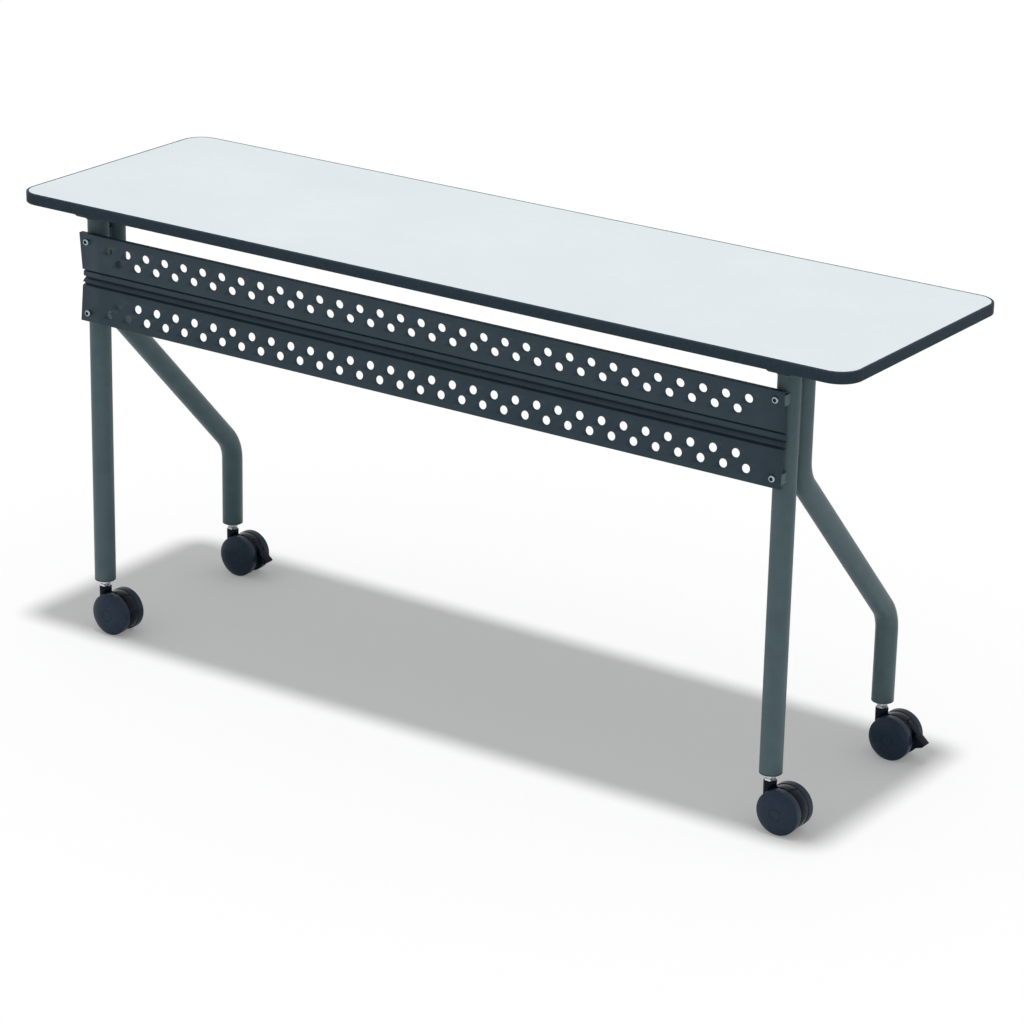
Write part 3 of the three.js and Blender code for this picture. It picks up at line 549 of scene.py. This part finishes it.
def merged(*meshes):
    """Several meshes as one."""
    whole = bmesh.new()
    for mesh in meshes:
        part = bpy.data.meshes.new("part")
        mesh.to_mesh(part)
        mesh.free()
        whole.from_mesh(part)
        bpy.data.meshes.remove(part)
    return whole


def piece(name, mesh, slot, body, replaces=(), crease=32, outward=True, finish=None):
    """A shaded object that rides on a body, and stands for the CAD nodes that it replaces.

    It has its slot's finish, or another one where that is named.
    """
    if outward:
        bmesh.ops.recalc_face_normals(mesh, faces=mesh.faces)
    data = bpy.data.meshes.new(name)
    mesh.to_mesh(data)
    mesh.free()
    data.shade_smooth()
    data.set_sharp_from_angle(angle=math.radians(crease))
    data.materials.append(FINISH[finish or slot])
    made = bpy.data.objects.new(name, data)
    bpy.context.scene.collection.objects.link(made)
    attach(made, body)
    if replaces:
        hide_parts(*replaces)
    return made


def dressed(node, mesh, **options):
    """A piece that stands for one CAD node, on its body and in its finish."""
    return piece(f"{node}_look", mesh, SLOT_OF[node], BODY_OF[node], (node,), **options)


def softened(node, width, **options):
    """A copy of a CAD node with its flat facets joined and its edges broken."""
    mesh = bmesh.new()
    mesh.from_mesh(NODES[node].data)
    bmesh.ops.remove_doubles(mesh, verts=mesh.verts, dist=LEAST_CAD_GAP)
    bmesh.ops.dissolve_limit(mesh, angle_limit=FLAT_ANGLE, verts=mesh.verts, edges=mesh.edges)
    return dressed(node, bevel(mesh, width), **options)


def middle_of(node):
    low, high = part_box(node)
    return (low + high) / 2


def radius_of(node):
    """Half of the width of a round node."""
    low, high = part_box(node)
    return (high.x - low.x) / 2


def axis_of(node):
    """A place at floor height on the upright axis of a node."""
    centre = middle_of(node)
    return Vector((centre.x, centre.y, 0))


# Table top
def perimeter(inset):
    """Points round the top with their outward directions."""
    low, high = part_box("tabletop_edge_band")
    middle = (low + high) / 2
    reach = (high - low) / 2 - Vector((CORNER_RADIUS, CORNER_RADIUS, 0))
    stations = []
    for quarter, (sx, sy) in enumerate(((1, 1), (-1, 1), (-1, -1), (1, -1))):
        corner = Vector((middle.x + sx * reach.x, middle.y + sy * reach.y, 0))
        for step in range(CORNER_STEPS + 1):
            angle = math.pi / 2 * (quarter + step / CORNER_STEPS)
            outward = Vector((math.cos(angle), math.sin(angle), 0))
            stations.append((corner + outward * (CORNER_RADIUS - inset), outward))
    return stations


def tabletop():
    low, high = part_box("tabletop_edge_band")
    section = [(-BAND_THICKNESS, low.z), (0, low.z), (0, high.z), (-BAND_THICKNESS, high.z)]
    arcs = rounded(section[:3], BAND_ROUND, BAND_ROUND_STEPS, closed=False)[:-1]
    arcs += rounded(section[1:], BAND_ROUND, BAND_ROUND_STEPS, closed=False)[1:]
    rings = []
    for point, outward in perimeter(0):
        rings.append([point + outward * out.x + Z_AXIS * out.y for out in arcs])
    dressed("tabletop_edge_band", skin(rings, loop=True))
    for node in ("tabletop_laminate", "tabletop_backer"):
        bottom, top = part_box(node)
        outline = [point for point, _ in perimeter(BAND_THICKNESS + SKIN_GAP)]
        rings = [[Vector((p.x, p.y, z)) for p in outline] for z in (bottom.z, top.z)]
        dressed(node, bevel(skin(rings), SKIN_EDGE, steps=2, sharper=60))


# Legs
def tube_rings(path, radius, x):
    """Rings of points round a path of (y, z) places in a plane of constant x."""
    rings = []
    for i, place in enumerate(path):
        before = path[max(i - 1, 0)]
        after = path[min(i + 1, len(path) - 1)]
        ahead = (after - before).normalized()
        across = Vector((0, ahead.y, -ahead.x))
        centre = Vector((x, place.x, place.y))
        rings.append(placed_round(circle(radius, TUBE_SIDES), centre, X_AXIS, across))
    return rings


def leg_tube(node, corners):
    """A hollow bent tube with rounded mouths, along corner places from its top to its foot."""
    x = middle_of(node).x
    radius = radius_of(node)
    path = rounded(corners, BEND_RADIUS, BEND_STEPS, closed=False)
    lip = Vector((0, TUBE_END_ROUND))
    path.insert(1, path[0] - lip)
    path.insert(-1, path[-1] + lip)
    outer = tube_rings(path, radius, x)
    outer[0] = tube_rings(path[:2], radius - TUBE_END_ROUND / 2, x)[0]
    outer[-1] = tube_rings(path[-2:], radius - TUBE_END_ROUND / 2, x)[-1]
    inner = tube_rings(path, radius - TUBE_WALL, x)
    dressed(node, skin(outer + inner[::-1], loop=True), crease=50)


def bead(name, path, closed=False):
    """A rippled weld bead along a path of places."""
    count = len(path)
    rings = []
    travelled = 0.0
    for i, place in enumerate(path):
        before = path[i - 1] if closed else path[max(i - 1, 0)]
        after = path[(i + 1) % count] if closed else path[min(i + 1, count - 1)]
        ahead = (after - before).normalized()
        side = ahead.orthogonal().normalized()
        if abs(ahead.z) < STEEP:
            side = ahead.cross(Z_AXIS).normalized()
        up = side.cross(ahead)
        radius = BEAD_RADIUS * (1 + BEAD_RIPPLE * math.sin(FULL_TURN * travelled / BEAD_PITCH))
        travelled += (after - place).length
        rings.append(placed_round(circle(radius, BEAD_SIDES), place, side, up))
    return piece(name, skin(rings, loop=closed), "frame_paint", "base", crease=60)


def arc_places(centre, radius, start, end):
    """Places along a level arc, about one step of a bead apart."""
    count = max(BEAD_LEAST_STEPS, round(abs(end - start) * radius / BEAD_STEP))
    arc = [(radius, start + (end - start) * i / count) for i in range(count + 1)]
    return placed_round(arc, centre, X_AXIS, Y_AXIS)


def legs():
    for side in SIDES:
        front_low, front_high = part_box(f"{side}_front_tube")
        rear_low, rear_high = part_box(f"{side}_rear_tube")
        radius = radius_of(f"{side}_front_tube")
        x, front_y, _ = middle_of(f"{side}_front_tube")
        rear_y = rear_low.y + radius
        foot_y = rear_high.y - radius
        leg_tube(f"{side}_front_tube", [(front_y, front_high.z), (front_y, front_low.z)])
        leg_tube(
            f"{side}_rear_tube",
            [
                (rear_y, rear_high.z),
                (rear_y, UPPER_BEND_Z),
                (foot_y, LOWER_BEND_Z),
                (foot_y, rear_low.z),
            ],
        )
        softened(f"{side}_tube_web", SHEET_EDGE)
        for name, y in (("front", front_y), ("rear", rear_y)):
            centre = Vector((x, y, front_high.z - BEAD_RADIUS / 2))
            ring = arc_places(centre, radius + BEAD_OFFSET, 0, FULL_TURN)[:-1]
            bead(f"{side}_{name}_head_weld", ring, closed=True)
        web_low, web_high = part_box(f"{side}_tube_web")
        height = web_high.z - web_low.z
        steps = round(height / BEAD_STEP)
        levels = [web_low.z + height * i / steps for i in range(steps + 1)]
        for name, web_x in (("inner", web_low.x), ("outer", web_high.x)):
            for row, y in (("front", web_low.y), ("rear", web_high.y)):
                bead(f"{side}_{name}_{row}_web_weld", [Vector((web_x, y, z)) for z in levels])


# Modesty panel
def panel_corners():
    """The panel's front face from its top hem to its bottom hem, as (y, z) corners."""
    low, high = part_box("modesty_panel")
    fold_y = low.y + UPPER_LEAN
    channel_top = high.z - UPPER_BAND
    channel_bottom = low.z + LOWER_BAND
    floor_y = fold_y + FLOOR_DEPTH
    floor_top = channel_top - GROOVE_HEIGHT
    floor_bottom = floor_top - FLOOR_HEIGHT
    ledge_top = floor_bottom - MIDDLE_GROOVE_HEIGHT
    ledge_bottom = ledge_top - LEDGE_HEIGHT
    return [
        (low.y + HEM_DEPTH, high.z),
        (low.y, high.z),
        *groove(fold_y, channel_top, floor_y, floor_top, GROOVE_DEPTH),
        *groove(floor_y, floor_bottom, fold_y + LEDGE_BACK, ledge_top, GROOVE_DEPTH),
        *groove(fold_y, ledge_bottom, fold_y, channel_bottom, LOWER_GROOVE_DEPTH),
        (fold_y - LOWER_LEAN, low.z),
        (fold_y - LOWER_LEAN + HEM_DEPTH, low.z),
    ]


def groove(upper_y, top, lower_y, bottom, depth):
    """Corners of a pressed groove between two flats, from its upper lip to its lower lip."""
    back = max(upper_y, lower_y) + depth
    third = (top - bottom) / 3
    return [(upper_y, top), (back, top - third), (back, bottom + third), (lower_y, bottom)]


def row_levels():
    """Heights of the edges of the two strips of holes in each band, from the top down."""
    low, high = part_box("modesty_panel")
    upper = high.z - UPPER_BAND / 2
    lower = low.z + LOWER_BAND / 2
    return [middle + step * ROW_SPACING for middle in (upper, lower) for step in (1, 0, -1)]


def panel_section(levels):
    """The rounded section of the sheet, with a point at each level."""
    smooth = rounded(panel_corners(), FOLD_RADIUS, FOLD_STEPS, closed=False)
    section = smooth[:1]
    for start, end in zip(smooth, smooth[1:]):
        for level in levels:
            if end.y < level < start.y:
                section.append(start.lerp(end, (start.y - level) / (start.y - end.y)))
        section.append(end)
    return section


def modesty_panel():
    low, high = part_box("modesty_panel")
    levels = row_levels()
    section = panel_section(levels)
    half_pitch = HOLE_PITCH / 2
    lines = [low.x, *(half_pitch * k for k in range(-HOLE_COUNT, HOLE_COUNT + 1)), high.x]
    middle_line = HOLE_COUNT + 1
    mesh = bmesh.new()
    grid = [[mesh.verts.new((x, place.x, place.y)) for x in lines] for place in section]
    pierced = set()
    for level, count in HOLE_ROWS:
        row = min(range(len(section)), key=lambda i: abs(section[i].y - levels[level]))
        for i in range(count):
            line = middle_line + 2 * i - (count - 1)
            hole_cell(mesh, grid, row, line)
            pierced.update({(row, line - 1), (row, line)})
    for row, (upper, lower) in enumerate(zip(grid, grid[1:])):
        for line in range(len(lines) - 1):
            if (row, line) not in pierced:
                mesh.faces.new((upper[line], lower[line], lower[line + 1], upper[line + 1]))
    panel = dressed("modesty_panel", mesh, outward=False)
    sheet = panel.modifiers.new("sheet", "SOLIDIFY")
    sheet.thickness = PANEL_SHEET
    sheet.offset = -1


def hole_cell(mesh, grid, row, line):
    """Two faces round one hole, between two levels and three lines of the grid."""
    upper, lower = grid[row], grid[row + 1]
    top, bottom = upper[line].co, lower[line].co
    up = (top - bottom).normalized()
    places = placed_round(circle(HOLE_RADIUS, HOLE_SIDES), (top + bottom) / 2, up, X_AXIS)
    rim = [mesh.verts.new(place) for place in places]
    half = HOLE_SIDES // 2
    right = [*rim[: half + 1], lower[line], lower[line + 1], upper[line + 1]]
    left = [*rim[half:], rim[0], upper[line], upper[line - 1], lower[line - 1]]
    mesh.faces.new([upper[line], *right])
    mesh.faces.new([lower[line], *left])


def panel_fixings():
    for side in SIDES:
        for level in ("upper", "lower"):
            softened(f"{side}_{level}_panel_lug", SOFT_EDGE)
            panel_screw(f"{side}_{level}_panel_screw")
            lug_low, lug_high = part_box(f"{side}_{level}_panel_lug")
            tube = middle_of(f"{side}_front_tube")
            radius = radius_of(f"{side}_front_tube")
            for edge, z in (("top", lug_high.z), ("bottom", lug_low.z)):
                centre = Vector((tube.x, tube.y, z))
                start, end = (
                    math.asin((x - tube.x) / radius) - math.pi / 2
                    for x in (lug_low.x + BEAD_RADIUS, lug_high.x - BEAD_RADIUS)
                )
                path = arc_places(centre, radius + BEAD_OFFSET, start, end)
                bead(f"{side}_{level}_lug_{edge}_weld", path)


def button(flat, radius, rise):
    """Profile of a domed head, from the rim of its flat middle out to its seat."""
    profile = []
    for i in range(BUTTON_STEPS + 1):
        angle = math.pi / 2 * i / BUTTON_STEPS
        out = flat + (radius - flat) * math.sin(angle)
        profile.append((out, rise * (1 - math.cos(angle))))
    return profile


def panel_screw(node):
    """A button head screw with a hexagon socket, its head towards -Y."""
    low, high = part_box(node)
    centre = middle_of(node)
    seat = Vector((centre.x, low.y, centre.z))
    radius = radius_of(node)
    length = high.y - low.y
    mouth = hexagon(SOCKET_APOTHEM, SCREW_SIDES)
    rim = ring_at(mouth, "Y", seat, SOCKET_BREAK)
    shank = [(SHANK_RADIUS, BUTTON_RISE), (SHANK_RADIUS, length), (0, length)]
    profile = button(SOCKET_RIM, radius, BUTTON_RISE) + shank
    head = [ring_at(circle(r, SCREW_SIDES), "Y", seat, along) for r, along in profile]
    dressed(node, skin([rim, *head], caps=False), finish="dull_zinc")
    # The socket's walls and floor are a separate piece in the dark black_steel finish: painted
    # shade in the recess, not the screw's own zinc colour.
    point = circle(0, SCREW_SIDES)
    rings = [ring_at(outline, "Y", seat, SOCKET_DEPTH) for outline in (point, mouth)]
    piece(f"{node}_socket", skin([*rings, rim], caps=False), "black_steel", BODY_OF[node])


# Flip hinge and latch
def flip_hinge():
    for side in SIDES:
        softened(f"{side}_flip_rail", SHEET_EDGE)
        softened(f"{side}_leg_head", HEAD_EDGE)
        softened(f"{side}_rest_pad", SOFT_EDGE)
        softened(f"{side}_latch_hook", SHEET_EDGE)
        headed_pin(f"{side}_pivot_pin")
        return_spring(side)
        rail_screws(side)
    softened("release_handle", GRIP_EDGE)
    rod("release_shaft", "X")


def headed_pin(node):
    """A rivet pin along X with a domed head at each end."""
    low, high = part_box(node)
    head = (high.z - low.z) / 2
    end = (high.x - low.x) / 2
    half = [(r, end - along) for r, along in button(0, head, PIN_DOME)]
    half += [(head, end - PIN_HEAD_DEPTH), (PIN_RADIUS, end - PIN_HEAD_DEPTH)]
    dressed(node, turned(mirrored(half), SCREW_SIDES, "X", middle_of(node)))


def rod(node, axis):
    """A turned level rod with chamfered ends."""
    low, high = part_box(node)
    radius = (high.z - low.z) / 2
    end = AXES[axis][2].dot(high - low) / 2
    half = [(0, end), (radius - PIN_CHAMFER, end), (radius, end - PIN_CHAMFER)]
    dressed(node, turned(mirrored(half), SCREW_SIDES, axis, middle_of(node)))


def return_spring(side):
    """A torsion spring round the release shaft, with a straight leg at each end."""
    node = f"{side}_return_spring"
    axis = middle_of("release_shaft")
    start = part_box(node)[0].x + SPRING_WIRE
    coil = SPRING_TURNS * SPRING_STEPS
    rings = []
    for i in range(-1, coil + 2):
        step = min(max(i, 0), coil)
        angle = FULL_TURN * step / SPRING_STEPS
        outward = Vector((0, math.cos(angle), math.sin(angle)))
        around = Vector((0, -math.sin(angle), math.cos(angle)))
        place = Vector((start + SPRING_PITCH * step / SPRING_STEPS, axis.y, axis.z))
        place += outward * SPRING_COIL + around * (SPRING_LEG * (i - step))
        rings.append(placed_round(circle(SPRING_WIRE, BEAD_SIDES), place, outward, X_AXIS))
    dressed(node, skin(rings), crease=50)


def rail_screws(side):
    """Wood screws up through the rail's web into the board."""
    node = f"{side}_flip_rail"
    web_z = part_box(node)[1].z - RAIL_WEB
    cross = []
    for angle in turns(SCREW_SIDES):
        arm = abs(math.cos(2 * angle)) ** CROSS_POWER
        cross.append((CROSS_NARROW + (CROSS_RADIUS - CROSS_NARROW) * arm, angle))
    levels = [
        (circle(0, SCREW_SIDES), WOOD_SCREW_RISE * CROSS_POINT),
        ([(r * CROSS_FLOOR, angle) for r, angle in cross], WOOD_SCREW_RISE * CROSS_FLOOR),
        (cross, SOCKET_BREAK),
    ]
    for r, along in button(WOOD_SCREW_FLAT, WOOD_SCREW_RADIUS, WOOD_SCREW_RISE):
        levels.append((circle(r, SCREW_SIDES), along))
    for i, y in enumerate(WOOD_SCREW_PLACES):
        seat = Vector((middle_of(node).x, y, web_z - WOOD_SCREW_RISE))
        rings = [ring_at(outline, "Z", seat, along) for outline, along in levels]
        piece(f"{side}_rail_screw_{i + 1}", skin(rings), "zinc", BODY_OF[node])


# Casters
def dome(radius, start, end, width):
    """Points of a wheel's domed face between two distances from its axis."""
    places = [start + (end - start) * i / DOME_STEPS for i in range(DOME_STEPS + 1)]
    return [(r, width + WHEEL_DOME * (1 - (r / radius) ** DOME_POWER)) for r in places]


def wheel(node, outward):
    """A moulded wheel: a rim drum inside, a rounded tread and a domed face with a hub ring."""
    low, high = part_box(node)
    centre = middle_of(node)
    radius = (high.z - low.z) / 2
    width = high.y - low.y - WHEEL_DOME
    centre.y = low.y if outward > 0 else high.y
    face = dome(radius, radius, HUB_RING_RADIUS + HUB_RING_GROOVE, width)
    cap = dome(radius, HUB_RING_RADIUS, 0, width)
    ring = (HUB_RING_RADIUS + HUB_RING_GROOVE / 2, cap[0][1] - HUB_RING_GROOVE)
    corners = [(RIM_RADIUS, RIM_WIDTH), (radius, RIM_WIDTH), *face[:2]]
    tread = rounded(corners, WHEEL_ROUND, WHEEL_ROUND_STEPS, closed=False)
    bore_end = width - AXLE_COVER
    profile = [(0, bore_end), (AXLE_BORE, bore_end), (AXLE_BORE, 0), (RIM_RADIUS, 0)]
    profile += [(point.x, point.y) for point in tread]
    profile += face[2:] + [ring] + cap
    placed = [(r, along * outward) for r, along in profile]
    dressed(node, turned(placed, WHEEL_SIDES, "Y", centre))


def sector(section, axle, start, end):
    """A closed section of (radius, y) swept round the axle between two angles."""
    steps = max(1, round((end - start) / HOOD_STEP))
    rings = []
    for i in range(steps + 1):
        angle = start + (end - start) * i / steps
        spoke = Vector((math.cos(angle), 0, math.sin(angle)))
        rings.append([axle + spoke * point.x + Y_AXIS * point.y for point in section])
    return skin(rings)


def hood(corner):
    """The moulded housing: a fender over both rims on a middle web, a hub and a stem neck."""
    node = f"{corner}_caster_hood"
    axle = middle_of(f"{corner}_caster_axle")
    stem = middle_of(f"{corner}_caster_stem")
    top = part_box(node)[1].z - NECK_DROP
    wide = HOOD_HALF_WIDTH
    web = HOOD_WEB
    tee = [
        (HOOD_WEB_FOOT, -web),
        (HOOD_INNER, -web),
        (HOOD_INNER, -wide),
        (HOOD_RADIUS, -wide),
        (HOOD_RADIUS, wide),
        (HOOD_INNER, wide),
        (HOOD_INNER, web),
        (HOOD_WEB_FOOT, web),
    ]
    section = rounded(tee, HOOD_ROUND, HOOD_ROUND_STEPS)
    braked = corner.startswith("rear")
    parts = [sector(section, axle, HOOD_SLOT_END if braked else HOOD_FRONT, HOOD_BACK)]
    hub = [(AXLE_BORE, -web), (HOOD_HUB, -web), (HOOD_HUB, web), (AXLE_BORE, web)]
    parts.append(turned(hub, SCREW_SIDES, "Y", axle, loop=True))
    if braked:
        for sign in (-1, 1):
            ear = [
                (HOOD_INNER, sign * EAR_INNER),
                (HOOD_RADIUS, sign * EAR_INNER),
                (HOOD_RADIUS, sign * wide),
                (HOOD_INNER, sign * wide),
            ]
            outline = rounded(ear, HOOD_ROUND, HOOD_ROUND_STEPS)
            parts.append(sector(outline, axle, HOOD_EAR_START, HOOD_SLOT_END + HOOD_STEP / 4))
    parts.append(neck(axle, stem, top))
    dressed(node, merged(*parts), finish="hood_plastic")


def neck(axle, stem, top):
    """The upright neck with the stem's bore, its foot lying inside the fender's wall."""
    wall = (HOOD_RADIUS + HOOD_INNER) / 2
    foot = []
    for radius, angle in circle(HOOD_HALF_WIDTH, WHEEL_SIDES):
        x = stem.x + radius * math.cos(angle)
        rise = math.sqrt(max(wall**2 - (x - axle.x) ** 2, NECK_FOOT**2))
        foot.append(Vector((x, stem.y + radius * math.sin(angle), axle.z + rise)))
    base = Vector((stem.x, stem.y, 0))
    third = NECK_ROUND / 3
    profile = [
        (NECK_RADIUS, top - NECK_ROUND),
        (NECK_RADIUS - third, top - third),
        (NECK_RADIUS - NECK_ROUND, top),
        (STEM_RADIUS + SKIN_GAP, top),
        (STEM_RADIUS + SKIN_GAP, top - STEM_DEPTH),
    ]
    rings = [foot] + [ring_at(circle(r, WHEEL_SIDES), "Z", base, z) for r, z in profile]
    return skin(rings)


def stem(corner):
    """The threaded stem with a hexagon nut on the neck and a washer under the tube."""
    node = f"{corner}_caster_stem"
    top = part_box(node)[1].z
    base = axis_of(node)
    washer_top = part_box(f"{corner}_tube_insert")[0].z - SKIN_GAP
    washer_bottom = washer_top - WASHER_HEIGHT
    nut_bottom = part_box(f"{corner}_caster_hood")[1].z - NECK_DROP + SKIN_GAP
    nut_top = nut_bottom + NUT_HEIGHT
    foot = nut_bottom - STEM_DEPTH
    nut_face = NUT_APOTHEM - NUT_CHAMFER
    below = [(0, foot), (STEM_RADIUS, foot), (STEM_RADIUS, nut_bottom), (nut_face, nut_bottom)]
    above = [
        (nut_face, nut_top),
        (COLLAR_RADIUS, nut_top),
        (COLLAR_RADIUS, washer_bottom),
        (WASHER_RADIUS - WASHER_ROUND, washer_bottom),
        (WASHER_RADIUS, washer_bottom + WASHER_ROUND),
        (WASHER_RADIUS, washer_top - WASHER_ROUND),
        (WASHER_RADIUS - WASHER_ROUND, washer_top),
        (STEM_RADIUS, washer_top),
        (STEM_RADIUS, top - PIN_CHAMFER),
        (STEM_RADIUS - PIN_CHAMFER, top),
        (0, top),
    ]
    rings = [ring_at(circle(r, SCREW_SIDES), "Z", base, z) for r, z in below]
    for z in (nut_bottom + NUT_CHAMFER, nut_top - NUT_CHAMFER):
        rings.append(ring_at(hexagon(NUT_APOTHEM, SCREW_SIDES), "Z", base, z))
    rings += [ring_at(circle(r, SCREW_SIDES), "Z", base, z) for r, z in above]
    dressed(node, skin(rings, caps=False))


def insert(corner):
    """The threaded plug in the tube's foot, with a rounded flange."""
    node = f"{corner}_tube_insert"
    low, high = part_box(node)
    radius = radius_of(node)
    bore = STEM_RADIUS + SKIN_GAP
    plug = radius - TUBE_WALL - SKIN_GAP
    seat = low.z + INSERT_FLANGE
    section = [
        (bore, low.z),
        (radius, low.z),
        (radius, seat),
        (plug, seat),
        (plug, high.z),
        (bore, high.z),
    ]
    outline = rounded(section, INSERT_ROUND, INSERT_ROUND_STEPS)
    profile = [(point.x, point.y) for point in outline]
    dressed(node, turned(profile, TUBE_SIDES, "Z", axis_of(node), loop=True))


def casters():
    for corner in CORNERS:
        wheel(f"{corner}_near_wheel", -1)
        wheel(f"{corner}_far_wheel", 1)
        hood(corner)
        stem(corner)
        insert(corner)
        rod(f"{corner}_caster_axle", "Y")
        if corner.startswith("rear"):
            softened(f"{corner}_brake_pedal", GRIP_EDGE, finish="hood_plastic")


# Studio
def studio_material(name):
    """A diffuse surface that also glows to the camera and in reflections."""
    material = bpy.data.materials.new(name)
    material.use_nodes = True
    nodes = material.node_tree.nodes
    links = material.node_tree.links
    nodes.clear()
    diffuse = nodes.new("ShaderNodeBsdfDiffuse")
    diffuse.inputs["Color"].default_value = (FLOOR_COLOUR, FLOOR_COLOUR, FLOOR_COLOUR, 1)
    glow = nodes.new("ShaderNodeEmission")
    path = nodes.new("ShaderNodeLightPath")
    seen = seen_directly(nodes, links, path)
    level = nodes.new("ShaderNodeMath")
    level.operation = "MULTIPLY"
    level.inputs[1].default_value = FLOOR_GLOW
    total = nodes.new("ShaderNodeAddShader")
    output = nodes.new("ShaderNodeOutputMaterial")
    links.new(seen, level.inputs[0])
    links.new(level.outputs[0], glow.inputs["Strength"])
    links.new(diffuse.outputs[0], total.inputs[0])
    links.new(glow.outputs[0], total.inputs[1])
    links.new(total.outputs[0], output.inputs["Surface"])
    return material


def seen_directly(nodes, links, path):
    """1 for camera, glossy and transmission rays, and 0 for the rest."""
    value = path.outputs["Is Camera Ray"]
    for kind in ("Is Glossy Ray", "Is Transmission Ray"):
        either = nodes.new("ShaderNodeMath")
        either.operation = "MAXIMUM"
        links.new(value, either.inputs[0])
        links.new(path.outputs[kind], either.inputs[1])
        value = either.outputs[0]
    return value


def floor():
    mesh = bmesh.new()
    bmesh.ops.create_grid(
        mesh, x_segments=FLOOR_PATCHES, y_segments=FLOOR_PATCHES, size=FLOOR_SIZE / 2
    )
    data = bpy.data.meshes.new("floor")
    mesh.to_mesh(data)
    mesh.free()
    data.materials.append(studio_material("floor"))
    plane = bpy.data.objects.new("floor", data)
    bpy.context.scene.collection.objects.link(plane)


def world():
    """White to the camera and in reflections, and a plain soft sky for the rest."""
    sky = bpy.data.worlds.new("studio")
    bpy.context.scene.world = sky
    sky.use_nodes = True
    nodes = sky.node_tree.nodes
    links = sky.node_tree.links
    background = nodes["Background"]
    background.inputs["Color"].default_value = (1, 1, 1, 1)
    path = nodes.new("ShaderNodeLightPath")
    level = nodes.new("ShaderNodeMapRange")
    level.inputs["To Min"].default_value = SKY_LIGHT
    level.inputs["To Max"].default_value = 1
    links.new(seen_directly(nodes, links, path), level.inputs["Value"])
    links.new(level.outputs["Result"], background.inputs["Strength"])


def lamps():
    sun = bpy.data.lights.new("overhead", "SUN")
    sun.energy = SUN_STRENGTH
    sun.angle = SUN_ANGLE
    lamp = bpy.data.objects.new("overhead", sun)
    lamp.rotation_euler = SUN_TILT
    bpy.context.scene.collection.objects.link(lamp)


def camera():
    """The camera, from its place and the direction that it looks along."""
    level = math.cos(CAMERA_ELEVATION)
    across = math.cos(CAMERA_AZIMUTH)
    along = math.sin(CAMERA_AZIMUTH)
    back = Vector((along * level, -across * level, math.sin(CAMERA_ELEVATION)))
    flat = Vector((across, along, 0))
    above = back.cross(flat)
    right = flat * math.cos(CAMERA_ROLL) + above * math.sin(CAMERA_ROLL)
    up = above * math.cos(CAMERA_ROLL) - flat * math.sin(CAMERA_ROLL)
    data = bpy.data.cameras.new("camera")
    data.lens = CAMERA_LENS
    made = bpy.data.objects.new("camera", data)
    turn = Matrix((right, up, back)).transposed()
    made.matrix_world = Matrix.Translation(CAMERA_PLACE) @ turn.to_4x4()
    bpy.context.scene.collection.objects.link(made)
    bpy.context.scene.camera = made


# The CAD nodes that stay take their slot's finish too
for node, slot in SLOT_OF.items():
    NODES[node].data.materials.clear()
    NODES[node].data.materials.append(FINISH[slot])

tabletop()
legs()
modesty_panel()
panel_fixings()
flip_hinge()
casters()
floor()
world()
lamps()
camera()
bpy.context.scene.view_settings.view_transform = "Standard"
